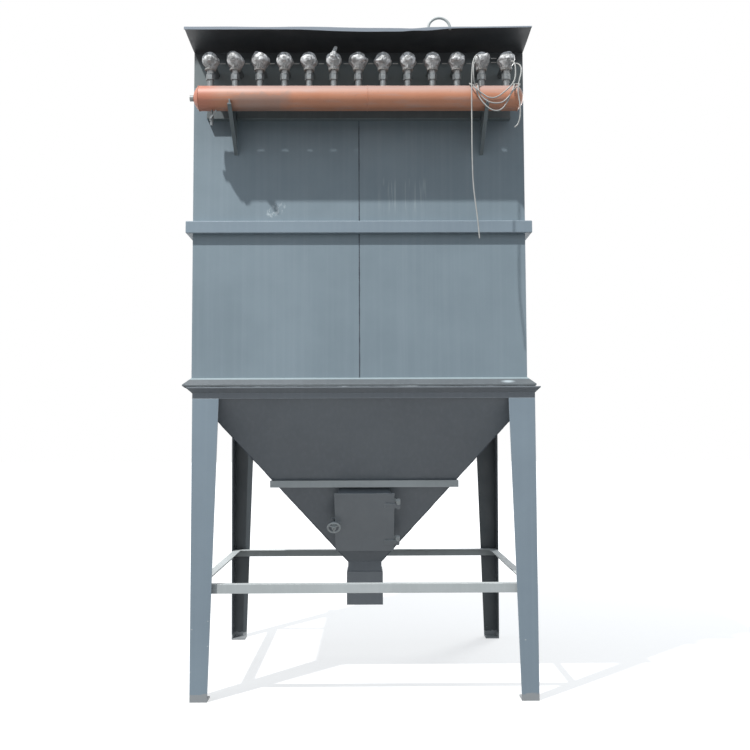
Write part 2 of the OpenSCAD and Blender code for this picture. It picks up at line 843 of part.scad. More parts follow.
// The handwheel's screw, from the fork to above the hub
module door_screw() {
    color(galvanised)
    at_wheel()
        translate([0, 0, catch_n - 8]) cylinder(d = screw_d, h = wheel_n + 18 - catch_n + 8);
}

// ---- Compressed air ----

module header_pipe() {
    color(oxide_orange)
    on_casing()
        translate([-header_l / 2, header_y, header_z])
            rotate([0, 90, 0])
                difference() {
                    cylinder(d = header_d, h = header_l, $fn = 96);
                    translate([0, 0, -1]) cylinder(d = header_d - 2 * header_t, h = header_l + 2, $fn = 96);
                }
}

// Dished ends on the header
module header_ends() {
    color(oxide_orange)
    on_casing()
        for (side = [0, 1])
            mirror([side, 0, 0])
                translate([header_l / 2 + seat, header_y, header_z])
                    rotate([0, 90, 0])
                        rotate_extrude($fn = 96)
                            intersection() {
                                translate([0, dish_h - dish_r])
                                    difference() {
                                        circle(r = dish_r, $fn = 128);
                                        circle(r = dish_r - header_t, $fn = 128);
                                    }
                                square([header_r, dish_h + 1]);
                            }
}

// The socket for the air supply on the left end, and the drain cock under the header
module header_fittings() {
    cock_top = header_z - header_r + 6;
    color(oxide_orange)
    on_casing()
        translate([-header_l / 2 - dish_h - 2 * seat, header_y, header_z])
            rotate([0, -90, 0])
                difference() {
                    cylinder(r = 20, h = 24);
                    translate([0, 0, -1]) cylinder(r = 13, h = 26);
                }
    color(galvanised)
    on_casing()
        difference() {
            translate([-drain_x, header_y, 0]) {
                translate([0, 0, cock_top - 46]) cylinder(r = 9, h = 46);
                translate([0, 0, cock_top - 82]) cylinder(r = 15, h = 36, $fn = 6);
                translate([0, 0, cock_top - 112]) cylinder(r = 10, h = 31);
                translate([0, 0, cock_top - 64]) rotate([90, 0, 0]) cylinder(r = 6, h = 26);
                translate([0, -24, cock_top - 64])
                    rotate([0, 35, 0]) translate([-5, -3, -8]) cube([10, 3, 70]);
            }
            translate([-drain_x - 50, header_y, header_z])
                rotate([0, 90, 0]) cylinder(r = header_r + seat, h = 100, $fn = 96);
        }
}

// A channel along the front wall behind the header, in stretches beside the brackets
module header_rail(clear) {
    t = 5;
    ends = [-rail_l / 2, -bracket_x, bracket_x, rail_l / 2];
    for (i = [0:2]) {
        left = ends[i] + (i == 0 ? 0 : clear);
        right = ends[i + 1] - (i == 2 ? 0 : clear);
        translate([left, front_y - seat, rail_z])
            rotate([90, 0, 90]) linear_extrude(right - left)
                polygon([[0, 0], [-rail_out, 0], [-rail_out, rail_h], [-rail_out + t, rail_h],
                    [-rail_out + t, t], [0, t]]);
    }
}

// Gusset brackets: a saddle plate under the header with a flange along its sloping edge
module header_brackets() {
    plate_t = 8;
    edge_w = 26;
    edge_t = 6;
    horn = 16;
    horn_z = header_z - 40;
    tip_y = header_y - header_r - horn;
    outline = [[front_y - seat, bracket_tip_z], [front_y - seat, header_z - 10],
        [header_y, header_z - 10], [header_y, horn_z], [tip_y, horn_z], [tip_y, horn_z - 34]];
    rise = horn_z - 34 - bracket_tip_z;
    color(steel_blue)
    on_casing() {
        header_rail(edge_w / 2 + seat);
        for (x = [-bracket_x, bracket_x])
            difference() {
                union() {
                    translate([x - plate_t / 2, 0, 0])
                        rotate([90, 0, 90]) linear_extrude(plate_t) polygon(outline);
                    translate([x - edge_w / 2, 0, 0])
                        rotate([90, 0, 90]) linear_extrude(edge_w)
                            polygon([[front_y - seat, bracket_tip_z], [tip_y, bracket_tip_z + rise],
                                [tip_y, bracket_tip_z + rise + edge_t + 1],
                                [front_y - seat, bracket_tip_z + edge_t + 1]]);
                }
                translate([x - 50, header_y, header_z])
                    rotate([0, 90, 0]) cylinder(r = header_r + seat, h = 100, $fn = 96);
            }
    }
}

// Nipples on the header, each with its union nut
module valve_nipples() {
    color(galvanised)
    on_casing()
        for (x = valve_x)
            translate([x, header_y, 0])
                difference() {
                    union() {
                        translate([0, 0, header_z]) cylinder(d = nipple_d, h = nut_low - header_z + 1);
                        translate([0, 0, nut_low]) cylinder(d = nut_flats / cos(30), h = nut_h, $fn = 6);
                    }
                    translate([-50, 0, header_z])
                        rotate([0, 90, 0]) cylinder(r = header_r + seat, h = 100, $fn = 96);
                }
}

// Right-angle diaphragm valve bodies: a socket below, a round chamber in front of the outlet
module valve_bodies() {
    color(galvanised)
    on_casing()
        for (x = valve_x)
            translate([x, header_y, valve_z]) {
                translate([0, 0, nut_low + nut_h + seat - valve_z]) cylinder(r = 23, h = 60);
                rotate([90, 0, 0])
                    rotate_extrude()
                        polygon([[0, -42], [27, -42], [27, -24], [40, -8], [40, 22], [body_r, 26],
                            [body_r, 34], [0, 34]]);
            }
}

// Bonnets over the diaphragms, each with its round screw bosses and pilot
module valve_bonnets() {
    boss_r = 5;
    screws = 6;
    color(galvanised)
    on_casing()
        for (x = valve_x)
            translate([x, header_y - 34 - seat, valve_z])
                rotate([90, 0, 0]) {
                    rotate_extrude()
                        polygon([[0, 0], [body_r, 0], [body_r, 8], [40, 12], [30, 16], [16, 18],
                            [16, 32], [0, 32]]);
                    for (a = [0:screws - 1])
                        rotate([0, 0, 360 * a / screws + 30])
                            translate([body_r - boss_r - 1, 0, 7]) cylinder(r = boss_r, h = 5, $fn = 6);
                }
}

// Blow pipes from the valves' outlets through the wall and over the bags, closed at the rear
module blow_pipes() {
    start = header_y + 42 + seat;
    l = -front_y - sheet_t - 60 - start;
    color(galvanised)
    on_casing()
        for (x = valve_x)
            translate([x, start, valve_z])
                rotate([-90, 0, 0])
                    difference() {
                        cylinder(d = blow_d, h = l);
                        translate([0, 0, -1]) cylinder(d = blow_d - 2 * blow_t, h = l - blow_t + 1);
                    }
}

// The film bags tied over the valves
module valve_wraps() {
    color(film_grey)
    on_casing()
        for (x = valve_x)
            translate([x, header_y - wrap_shift, 0])
                difference() {
                    wrap_form(0);
                    wrap_form(wrap_t);
                    translate([0, 0, valve_z]) rotate([-90, 0, 0]) cylinder(d = blow_d + 3 * seat, h = 200);
                }
}
module wrap_form(inward) {
    low_z = valve_z - wrap_r * 0.5;
    low_r = wrap_r * cos(30);
    union() {
        intersection() {
            translate([0, 0, valve_z]) sphere(r = wrap_r - inward, $fn = 64);
            translate([-100, -100, low_z]) cube([200, 200, 200]);
        }
        translate([0, 0, wrap_neck_z - (inward > 0 ? 1 : 0)])
            cylinder(r1 = wrap_neck_r - inward, r2 = low_r - inward,
                h = low_z - wrap_neck_z + (inward > 0 ? 1.01 : 0.01));
    }
}

// Straight jumpers between the bags, two of them in the last space
module signal_wires() {
    wire_r = 2.5;
    drops = [for (i = [0:valve_count - 2]) i == valve_count - 2 ? [19, -9] : [-18]];
    color(cable_grey)
    on_casing()
        for (i = [0:valve_count - 2])
            for (dz = drops[i]) {
                reach = sqrt(wrap_r * wrap_r - (abs(dz) - wire_r) * (abs(dz) - wire_r)) + 0.3;
                translate([valve_x[i] + reach, header_y - wrap_shift, valve_z + dz])
                    rotate([0, 90, 0]) cylinder(r = wire_r, h = valve_pitch - 2 * reach);
            }
}

// ---- Ducts ----

// A rectangular duct stub of four flanged plates, its opening w by h
module duct_stub(w, h) {
    t = 4;
    flange = 6;
    difference() {
        rotate([-90, 0, 0])
            frame_bars(w, h, [[0, seat], [t, seat], [t, duct_l - flange], [duct_flange, duct_l - flange],
                [duct_flange, duct_l], [0, duct_l]]);
        for (x = [-w / 2 + 50, 0, w / 2 - 50], z = [-1, 1])
            translate([x, duct_l - flange - 1, z * (h / 2 + duct_flange / 2 + 2)])
                rotate([-90, 0, 0]) cylinder(r = duct_hole_r, h = flange + 2);
        for (x = [-1, 1], z = [-h / 4, h / 4])
            translate([x * (w / 2 + duct_flange / 2 + 2), duct_l - flange - 1, z])
                rotate([-90, 0, 0]) cylinder(r = duct_hole_r, h = flange + 2);
    }
}
module duct_stubs() {
    color(steel_blue)
    on_casing() {
        translate([0, -front_y, inlet_z]) duct_stub(duct_w, inlet_h);
        translate([0, -front_y, outlet_z]) duct_stub(duct_w, outlet_h);
    }
}

// ---- Cables ----

module drop_cable() { color(cable_grey) swept_tube(drop_route, cable_d / 2); }
module loop_cable() { color(cable_grey) swept_tube(loop_route, cable_d / 2); }
module tail_cable() { color(cable_grey) swept_tube(tail_route, cable_d / 2); }

legs();
foot_plates();
braces();
ring_beam();
casing_flange();
flange_gasket();
front_wall();
valve_panel();
side_walls();
rear_wall();
middle_band();
tube_sheet();
filter_bags();
roof_plate();
roof_lids();
lid_handles();
canopy();
roof_loop();
hopper_front();
hopper_rear();
hopper_sides();
hopper_stiffener();
outlet_neck();
discharge_sleeve();
door_neck();
hinge_brackets();
screw_catch();
hopper_door();
door_gasket();
handwheel();
door_screw();
header_pipe();
header_ends();
header_fittings();
header_brackets();
valve_nipples();
valve_bodies();
valve_bonnets();
blow_pipes();
valve_wraps();
signal_wires();
duct_stubs();
drop_cable();
loop_cable();
tail_cable();
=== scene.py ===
import math
import bpy
import numpy as np
from mathutils import Matrix, Vector


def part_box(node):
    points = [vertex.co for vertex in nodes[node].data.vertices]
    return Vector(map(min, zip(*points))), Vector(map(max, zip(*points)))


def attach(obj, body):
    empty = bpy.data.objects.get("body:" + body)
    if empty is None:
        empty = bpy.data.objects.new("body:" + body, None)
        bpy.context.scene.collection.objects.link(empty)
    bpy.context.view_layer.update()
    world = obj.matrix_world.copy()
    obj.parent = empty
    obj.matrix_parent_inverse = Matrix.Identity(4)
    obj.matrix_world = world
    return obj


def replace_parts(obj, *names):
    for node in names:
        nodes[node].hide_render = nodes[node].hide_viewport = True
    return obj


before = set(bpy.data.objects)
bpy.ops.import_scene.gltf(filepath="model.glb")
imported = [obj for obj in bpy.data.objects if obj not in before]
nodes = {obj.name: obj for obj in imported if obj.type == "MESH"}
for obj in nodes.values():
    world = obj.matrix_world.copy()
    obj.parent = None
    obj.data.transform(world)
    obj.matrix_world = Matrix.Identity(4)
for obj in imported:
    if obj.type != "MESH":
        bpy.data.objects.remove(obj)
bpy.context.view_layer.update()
scene = bpy.context.scene
print("frame loaded:", len(nodes), "nodes")


def boxOf(node):
    # a node's lowest and highest corners as arrays
    low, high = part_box(node)
    return np.array(low), np.array(high)


cameraLook = {
    "place": (0.0295, -7.5695, 1.8112),  # metres, a person's eye height
    "up": 3.7861,  # degrees the view tilts up
    "right": 0.4314,  # degrees it turns to the right
    "lean": -0.2059,  # degrees it leans
    "lens": 44.74,  # mm
    "sensor": 36,  # mm
    "farClip": 100,  # metres
}


def addCamera(look):
    # the view's own axes: forward from the two angles, then right and up turned by the lean
    tilt, turn, lean = (math.radians(look[k]) for k in ("up", "right", "lean"))
    forward = Vector((math.cos(tilt) * math.sin(turn), math.cos(tilt) * math.cos(turn), math.sin(tilt)))
    level = Vector((math.cos(turn), -math.sin(turn), 0))
    lifted = Vector((-math.sin(tilt) * math.sin(turn), -math.sin(tilt) * math.cos(turn), math.cos(tilt)))
    right = math.cos(lean) * level + math.sin(lean) * lifted
    up = -math.sin(lean) * level + math.cos(lean) * lifted
    camera = bpy.data.objects.new("viewCamera", bpy.data.cameras.new("viewCamera"))
    scene.collection.objects.link(camera)
    camera.matrix_world = Matrix.Translation(look["place"]) @ Matrix(
        (right, up, -forward)).transposed().to_4x4()
    camera.data.sensor_width = look["sensor"]
    camera.data.lens = look["lens"]
    camera.data.clip_end = look["farClip"]
    scene.camera = camera


addCamera(cameraLook)


def linearColour(hexText):
    # sRGB to linear light: a straight line near black, a 2.4 power above it
    values = np.array([int(hexText[i:i + 2], 16) for i in (1, 3, 5)]) / 255
    bright = ((values + 0.055) / 1.055) ** 2.4
    return (*np.where(values <= 0.04045, values / 12.92, bright).tolist(), 1.0)


def addNode(material, kind, inputs=None, **settings):
    # one node: its settings, then each input as a value or as another node's output
    tree = material.node_tree
    node = tree.nodes.new(kind)
    for name, value in settings.items():
        setattr(node, name, value)
    for name, value in (inputs or {}).items():
        if isinstance(value, bpy.types.NodeSocket):
            tree.links.new(value, node.inputs[name])
        else:
            node.inputs[name].default_value = value
    return node


def newMaterial(name):
    material = bpy.data.materials.new(name)
    material.use_nodes = True
    material.node_tree.nodes.clear()
    return material


def finishMaterial(material, colour, roughness, others=None):
    # the surface with these inputs, joined to the material's output
    shader = addNode(material, "ShaderNodeBsdfPrincipled",
                     {"Base Color": colour, "Roughness": roughness, **(others or {})})
    addNode(material, "ShaderNodeOutputMaterial", {"Surface": shader.outputs[0]})
    return material


def objectPlace(material, stretch=None):
    # the place in the piece's own metres, squeezed along an axis where a pattern runs
    place = addNode(material, "ShaderNodeTexCoord").outputs["Object"]
    if stretch is None:
        return place
    return addNode(material, "ShaderNodeMapping", {"Vector": place, "Scale": stretch}).outputs[0]


def layOver(material, under, over, *shares):
    # one colour over another; the product of the shares says how much of it shows
    share = shares[0]
    for limit in shares[1:]:
        share = addNode(material, "ShaderNodeMath", {0: share, 1: limit}, operation="MULTIPLY").outputs[0]
    colours = {slot: linearColour(colour) if isinstance(colour, str) else colour
               for slot, colour in ((6, under), (7, over))}
    return addNode(material, "ShaderNodeMix", {0: share, **colours}, data_type="RGBA").outputs[2]


def patchShare(material, place, sizeMm, low, high, most=1.0, detail=4, roughness=0.55, least=0.0):
    # cloudy patches about sizeMm across: least where their noise is under low, most above high
    noise = addNode(material, "ShaderNodeTexNoise",
                    {"Vector": place, "Scale": 1000 / sizeMm, "Detail": detail, "Roughness": roughness})
    return addNode(material, "ShaderNodeMapRange",
                   {0: noise.outputs[0], 1: low, 2: high, 3: least, 4: most}).outputs[0]


def layPatches(material, place, under, over, *patches):
    # one colour over another in patches; what follows the colours says how they look
    return layOver(material, under, over, patchShare(material, place, *patches))


def axisShare(material, vector, axis, low, high, least=0.0, most=1.0, wander=None):
    # a fade along one axis: least under low, most above high; wander makes its edge uneven
    value = addNode(material, "ShaderNodeSeparateXYZ", {0: vector}).outputs[axis]
    if wander is not None:
        value = addNode(material, "ShaderNodeMath", {0: value, 1: wander}, operation="ADD").outputs[0]
    return addNode(material, "ShaderNodeMapRange",
                   {0: value, 1: low, 2: high, 3: least, 4: most}).outputs[0]


def facingShare(material, axis, low, high, least=0.0, most=1.0):
    # the same by the way a face looks, which is 1 along the axis and -1 against it
    facing = addNode(material, "ShaderNodeNewGeometry").outputs["Normal"]
    return axisShare(material, facing, axis, low, high, least, most)


def bandShares(material, place, axis, band, wander=None):
    # a band's two ends along an axis: from, to, and how long it takes to fade in and out
    start, end, fadeIn, fadeOut = band
    return (axisShare(material, place, axis, start, start + fadeIn, wander=wander),
            axisShare(material, place, axis, end - fadeOut, end, 1.0, 0.0, wander))


def spotShare(material, place, middle, flat, inner, outer, most):
    # most inside a spot and nothing outside it; flat is how much longer it is than high
    x, y, z = middle
    spot = addNode(material, "ShaderNodeMapping", {"Vector": place, "Location": (-x, -y, -z * flat),
                                                   "Scale": (1, 1, flat)}).outputs[0]
    away = addNode(material, "ShaderNodeVectorMath", {0: spot}, operation="LENGTH").outputs["Value"]
    return addNode(material, "ShaderNodeMapRange",
                   {0: away, 1: inner, 2: outer, 3: most, 4: 0.0}).outputs[0]


def dentedNormal(material, place, sizeMm, strength, deep, detail=4, roughness=0.55, normal=None):
    # the surface direction over dents about sizeMm across and deep metres deep
    noise = addNode(material, "ShaderNodeTexNoise",
                    {"Vector": place, "Scale": 1000 / sizeMm, "Detail": detail, "Roughness": roughness})
    inputs = {"Strength": strength, "Distance": deep, "Height": noise.outputs[0]}
    if normal is not None:
        inputs["Normal"] = normal
    return addNode(material, "ShaderNodeBump", inputs).outputs[0]


def roundedEdge(material, radiusMm):
    # the surface direction with each sharp edge rounded off, and how much it turned there
    soft = addNode(material, "ShaderNodeBevel", {"Radius": radiusMm / 1000}, samples=6).outputs[0]
    sharp = addNode(material, "ShaderNodeNewGeometry").outputs["Normal"]
    turned = addNode(material, "ShaderNodeVectorMath", {0: soft, 1: sharp},
                     operation="DOT_PRODUCT").outputs["Value"]
    return soft, addNode(material, "ShaderNodeMapRange",
                         {0: turned, 1: 0.90, 2: 0.995, 3: 1.0, 4: 0.0}).outputs[0]


# Alkyd enamel rolled and sprayed on mild steel sheet: satin, a little uneven, with
# rain-washed dust in soft upright streaks and the sheet's own slow waves
paintLooks = {
    "wallEnamel": {"colour": "#83929a", "deep": "#78878f", "streak": "#8f9ca5", "dust": "#8b8f90",
                   "wornAndLitEdgeColour": "#a9b3ba", "streakShare": 0.30, "waves": 0.35, "roughness": 0.42},
    "frameEnamel": {"colour": "#8796a0", "deep": "#7d8b95", "streak": "#909da6", "dust": "#8a8f92",
                    "wornAndLitEdgeColour": "#b4bdc2", "streakShare": 0.25, "waves": 0.10, "roughness": 0.42},
    # the hopper's enamel is a darker, greyer copy of the wall paint: painted shade for the hopper, its
    # necks and the ring beam under the casing
    "hopperEnamel": {"colour": "#747a7f", "deep": "#6b7075", "streak": "#868c90", "dust": "#7f7d77",
                     "wornAndLitEdgeColour": "#a2abb0", "streakShare": 0.25, "waves": 0.30, "roughness": 0.45},
    "doorEnamel": {"colour": "#858a8e", "deep": "#7b7f82", "streak": "#91979a", "dust": "#85847f",
                   "wornAndLitEdgeColour": "#b4bbbe", "streakShare": 0.20, "waves": 0.15, "roughness": 0.42},
    "bracketEnamel": {"colour": "#6c7577", "deep": "#5f6769", "streak": "#7b8384", "dust": "#6d6b66",
                      "wornAndLitEdgeColour": "#9aa8ab", "streakShare": 0.25, "waves": 0.15, "roughness": 0.45},
    "skirtEnamel": {"colour": "#666b6e", "deep": "#5c6164", "streak": "#747a7d", "dust": "#6d6b66",
                    "wornAndLitEdgeColour": "#9aa8ab", "streakShare": 0.25, "waves": 0.25, "roughness": 0.40},
    "braceEnamel": {"colour": "#c0c5c4", "deep": "#b0b5b4", "streak": "#cccfcd", "dust": "#b2b0a8",
                    "wornAndLitEdgeColour": "#d8dad7", "streakShare": 0.20, "waves": 0.05, "roughness": 0.50},
}
# the sizes of the paint's patterns in mm: clouds of tone, streaks and how far they are drawn out
# upright, dust specks, edges paled by wear and a painted highlight, sheet waves, brushed texture and clouds
# of gloss
enamelGrain = {"cloud": 700, "streak": 30, "upright": 0.015, "speck": 9, "broken": 60, "wornAndLitEdgeMm": 5,
               "softEdge": 3, "wave": 450, "waveDeep": 0.012, "brushed": 5, "brushedDeep": 0.0006,
               "gloss": 120}


def startEnamel(name, look):
    # tone in clouds, then upright streaks, dust specks, and folded and cut edges paled: partly paint
    # worn thin, partly a painted highlight where the edges catch light
    grain = enamelGrain
    material = newMaterial(name)
    place = objectPlace(material)
    drawnOut = objectPlace(material, (1, 1, grain["upright"]))
    colour = layPatches(material, place, look["colour"], look["deep"], grain["cloud"], 0.35, 0.68, 1.0, 5)
    colour = layPatches(material, drawnOut, colour, look["streak"], grain["streak"], 0.45, 0.80,
                        look["streakShare"], 2)
    colour = layPatches(material, place, colour, look["dust"], grain["speck"], 0.64, 0.75, 0.25, 2, 0.7)
    broken = patchShare(material, place, grain["broken"], 0.30, 0.60, 0.9, 3, least=0.25)
    # paler edges: worn paint and a painted highlight
    edge = roundedEdge(material, grain["wornAndLitEdgeMm"])[1]
    return material, layOver(material, colour, look["wornAndLitEdgeColour"], edge, broken), place


def finishEnamel(material, look, colour, place):
    # slow waves of the sheet under the brushed-out texture of the paint, and gloss in clouds
    grain = enamelGrain
    waves = dentedNormal(material, place, grain["wave"], look["waves"], grain["waveDeep"], 1, 0.4,
                         roundedEdge(material, grain["softEdge"])[0])
    texture = dentedNormal(material, place, grain["brushed"], 0.10, grain["brushedDeep"], 2, normal=waves)
    gloss = patchShare(material, place, grain["gloss"], 0.3, 0.7, look["roughness"] + 0.08,
                       least=look["roughness"] - 0.06)
    return finishMaterial(material, colour, gloss, {"Normal": texture})


def enamel(name):
    look = paintLooks[name]
    material, colour, place = startEnamel(name, look)
    return finishEnamel(material, look, colour, place)


# marks on the upper front sheets, in metres: rubbed patches as x, z and radius, and the pale
# runs' bands along each axis as from, to, fade in and fade out
wallMarks = {
    "rubs": ((-0.603, 3.435, 0.060), (-0.655, 3.398, 0.042)),
    "runs": {"X": (0.09, 0.47, 0.06, 0.06), "Z": (3.36, 3.66, 0.20, 0.05)},
    "scratchMm": 14, "runMm": 16, "lime": "#b4bfc3",
}


def markedWall():
    # wall enamel with rubbed lime patches and faint pale runs
    look = paintLooks["wallEnamel"]
    material, colour, place = startEnamel("markedWallEnamel", look)
    frontY = boxOf("front_wall")[0][1]
    scratched = patchShare(material, objectPlace(material, (1, 1, 0.55)), wallMarks["scratchMm"],
                           0.50, 0.58, 1.0, 5, 0.75)
    for x, z, radius in wallMarks["rubs"]:
        rub = spotShare(material, place, (x, frontY, z), 1, radius * 0.55, radius, 0.9)
        colour = layOver(material, colour, wallMarks["lime"], rub, scratched)
    runs = patchShare(material, objectPlace(material, (1, 1, 0.04)), wallMarks["runMm"],
                      0.56, 0.66, 0.5, 2)
    ends = [share for axis, band in wallMarks["runs"].items()
            for share in bandShares(material, place, axis, band)]
    colour = layOver(material, colour, wallMarks["lime"], runs, *ends)
    return finishEnamel(material, look, colour, place)


# the rear legs' darker front faces are painted shade, for the body's shadow on them
legLook = {"cement": "#989b9c", "cementTop": 0.050, "chip": "#c4c8c6", "chipScale": 16, "chipTop": 0.9,
           "paintedShade": "#303435", "paintedShadeFrom": 0.3, "paintedShadeFull": 0.5}


def leggedEnamel():
    # enamel with cement splashed up the feet, small pale chips below knee height, and the rear
    # legs' front faces darkened as painted shade
    look = paintLooks["frameEnamel"]
    material, colour, place = startEnamel("legEnamel", look)
    # painted shade on the rear legs' front faces
    colour = layOver(material, colour, legLook["paintedShade"],
                     axisShare(material, place, "Y", legLook["paintedShadeFrom"], legLook["paintedShadeFull"], 0.0, 0.85),
                     facingShare(material, "Y", 0.1, 0.3, 1.0, 0.0))
    chips = addNode(material, "ShaderNodeTexVoronoi",
                    {"Vector": objectPlace(material, (1, 1, 1.6)), "Scale": legLook["chipScale"]})
    chipped = addNode(material, "ShaderNodeMapRange",
                      {0: chips.outputs["Distance"], 1: 0.07, 2: 0.12, 3: 1.0, 4: 0.0}).outputs[0]
    colour = layOver(material, colour, legLook["chip"], chipped,
                     axisShare(material, place, "Z", 0.2, legLook["chipTop"], 1.0, 0.0),
                     patchShare(material, place, 130, 0.50, 0.56, 1.0, 2))
    wander = patchShare(material, place, 40, 0.3, 0.7, 0.012, 3, least=-0.012)
    colour = layOver(material, colour, legLook["cement"],
                     axisShare(material, place, "Z", legLook["cementTop"] - 0.004,
                               legLook["cementTop"] + 0.002, 1.0, 0.0, wander))
    return finishEnamel(material, look, colour, place)


primerLook = {
    "colour": "#cc8b6a", "deep": "#c4815f", "chalkAndTopHighlight": "#b4978d", "grey": "#8f8078", "fresh": "#c4785f",
    "grime": "#7d5c4a",
    "greyBand": (-0.94, -0.48, 0.10, 0.08),  # along X, in metres: from, to, fade in and fade out
    "freshTo": -1.02,  # metres along X
    "roughness": 0.46,
}


def redPrimer():
    # red oxide primer brushed on rolled pipe: pinkish, chalky in streaks, and paler on its upper side as a
    # painted highlight; browner below, greyer on the lower half right of the left bracket, redder at the
    # touched-up end
    look = primerLook
    material = newMaterial("redOxidePrimer")
    place = objectPlace(material)
    pipeLow, pipeHigh = boxOf("header_pipe")
    middleZ = (pipeLow[2] + pipeHigh[2]) / 2
    colour = layPatches(material, place, look["colour"], look["deep"], 260, 0.35, 0.65)
    colour = layPatches(material, objectPlace(material, (0.15, 1, 1)), colour, look["chalkAndTopHighlight"],
                        30, 0.5, 0.72, 0.45, 3)
    # painted highlight: the upper side paler
    colour = layOver(material, colour, look["chalkAndTopHighlight"], facingShare(material, "Z", 0.0, 0.6, 0.0, 0.9))
    wander = patchShare(material, place, 90, 0.3, 0.7, 0.03, 3, least=-0.03)
    colour = layOver(material, colour, look["grey"],
                     axisShare(material, place, "Z", middleZ - 0.01, middleZ + 0.02, 0.55, 0.0, wander),
                     *bandShares(material, place, "X", look["greyBand"], wander))
    colour = layOver(material, colour, look["fresh"],
                     axisShare(material, place, "X", look["freshTo"] - 0.06, look["freshTo"] + 0.06,
                               0.75, 0.0))
    colour = layPatches(material, place, colour, look["grime"], 14, 0.62, 0.74, 0.35, 3, 0.7)
    return finishMaterial(material, colour, look["roughness"],
                          {"Specular IOR Level": 0.7,
                           "Normal": dentedNormal(material, place, 6, 0.25, 0.0006, 3)})


zincLook = {"spangleMm": 8, "dark": "#767b7d", "light": "#8d9192", "stain": "#7b7a74"}


def zincPlate():
    # hot-dipped zinc on malleable fittings and tubes: grey spangle, half matte, stained in clouds
    material = newMaterial("hotDippedZinc")
    place = objectPlace(material)
    spangle = addNode(material, "ShaderNodeTexVoronoi",
                      {"Vector": place, "Scale": 1000 / zincLook["spangleMm"]})
    tone = addNode(material, "ShaderNodeSeparateColor", {0: spangle.outputs["Color"]}).outputs[0]
    rough = addNode(material, "ShaderNodeMapRange", {0: tone, 1: 0.0, 2: 1.0, 3: 0.38, 4: 0.55}).outputs[0]
    colour = layOver(material, zincLook["dark"], zincLook["light"], tone)
    colour = layPatches(material, place, colour, zincLook["stain"], 30, 0.52, 0.75, 0.6)
    return finishMaterial(material, colour, rough, {"Metallic": 0.55})


alloyLook = {"grainMm": 3, "dark": "#9a9c9d", "light": "#b0b2b2"}


def castAlloy():
    # die-cast aluminium: light grey, faintly grained, satin
    material = newMaterial("dieCastAluminium")
    place = objectPlace(material)
    colour = layPatches(material, place, alloyLook["dark"], alloyLook["light"], alloyLook["grainMm"],
                        0.3, 0.7, 1.0, 2)
    grain = dentedNormal(material, place, alloyLook["grainMm"], 0.3, 0.0004, 2)
    return finishMaterial(material, colour, 0.48, {"Metallic": 0.7, "Normal": grain})


filmLook = {"thin": "#858583", "thick": "#a9a9a7", "white": "#eeeeed", "dark": "#4d4e4f",
            "crown": (0.057, 0.097)}  # metres above the nipples, where the painted highlight turns the bags white


def cloudedFilm():
    # polyethylene film, several layers crumpled together: milky grey, whiter on the crown as a painted
    # highlight, with dark patches painted as shade in its folds, and soft glints along the folds
    look = filmLook
    material = newMaterial("cloudedFilm")
    place = objectPlace(material)
    nippleTop = boxOf("valve_nipples")[1][2]
    paintedLightLow, paintedLightHigh = (nippleTop + height for height in look["crown"])
    colour = layPatches(material, place, look["thin"], look["thick"], 60, 0.35, 0.65, 1.0, 3, 0.5)
    # painted highlight: white patches over the crown
    colour = layOver(material, colour, look["white"],
                     patchShare(material, place, 30, 0.44, 0.60, 1.0, 3, least=0.1),
                     axisShare(material, place, "Z", paintedLightLow, paintedLightHigh, 0.25, 1.0))
    # painted shade: dark patches in the folds
    colour = layPatches(material, place, colour, look["dark"], 20, 0.58, 0.66, 0.65, 3, 0.6)
    return finishMaterial(material, colour, 0.34,
                          {"Normal": dentedNormal(material, place, 14, 0.8, 0.004, 3, 0.6)})


def cableJacket():
    # soft PVC jacket: light grey, smooth, dulled by dust along its length
    material = newMaterial("greyPvcJacket")
    colour = layPatches(material, objectPlace(material), "#b4b4b0", "#8f8f8a", 60, 0.4, 0.7, 0.6)
    return finishMaterial(material, colour, 0.5)


def grimyRubber():
    # nitrile sheet seal: near black, matte, greyed by dust
    material = newMaterial("nitrileRubber")
    colour = layPatches(material, objectPlace(material), "#26282a", "#55585a", 25, 0.42, 0.7, 0.7)
    return finishMaterial(material, colour, 0.8)


def paintedWeld():
    # weld run under thin paint: darker than the sheet, with rust showing through in spots
    material = newMaterial("paintedWeldRun")
    place = objectPlace(material)
    colour = layPatches(material, place, "#4d565f", "#39414a", 30, 0.35, 0.7)
    colour = layPatches(material, place, colour, "#6a4a3a", 18, 0.60, 0.72, 0.6, 4, 0.7)
    return finishMaterial(material, colour, 0.6)


def squeezedSealant():
    # gun-applied sealant painted over: dull, dented, paler than the rain cover below it
    material = newMaterial("paintedSealant")
    place = objectPlace(material)
    colour = layPatches(material, place, "#a3a9ab", "#868d91", 45, 0.35, 0.7)
    colour = layPatches(material, place, colour, "#3f4449", 20, 0.62, 0.72, 0.7, 3, 0.7)
    return finishMaterial(material, colour, 0.66,
                          {"Normal": dentedNormal(material, place, 12, 0.5, 0.003, 3)})


def needleFelt():
    # polyester needle felt: off-white, matte and soft, greyed by cake dust in upright bands;
    # its fibres are drawn 2 mm coarse so that they show
    material = newMaterial("needleFelt")
    place = objectPlace(material)
    colour = layPatches(material, objectPlace(material, (1, 1, 0.1)), "#c9c6bd", "#a19d93", 40, 0.35, 0.7)
    return finishMaterial(material, colour, 0.95, {
        "Sheen Weight": 0.3, "Normal": dentedNormal(material, place, 2, 0.4, 0.001, 3)})


canopyPaint = {"paintedShadeDark": "#383a3d", "paintedShadeGrey": "#464749", "lip": "#8d969f",
               "lipFrom": 0.002, "lipTo": 0.008}  # metres behind the front edge


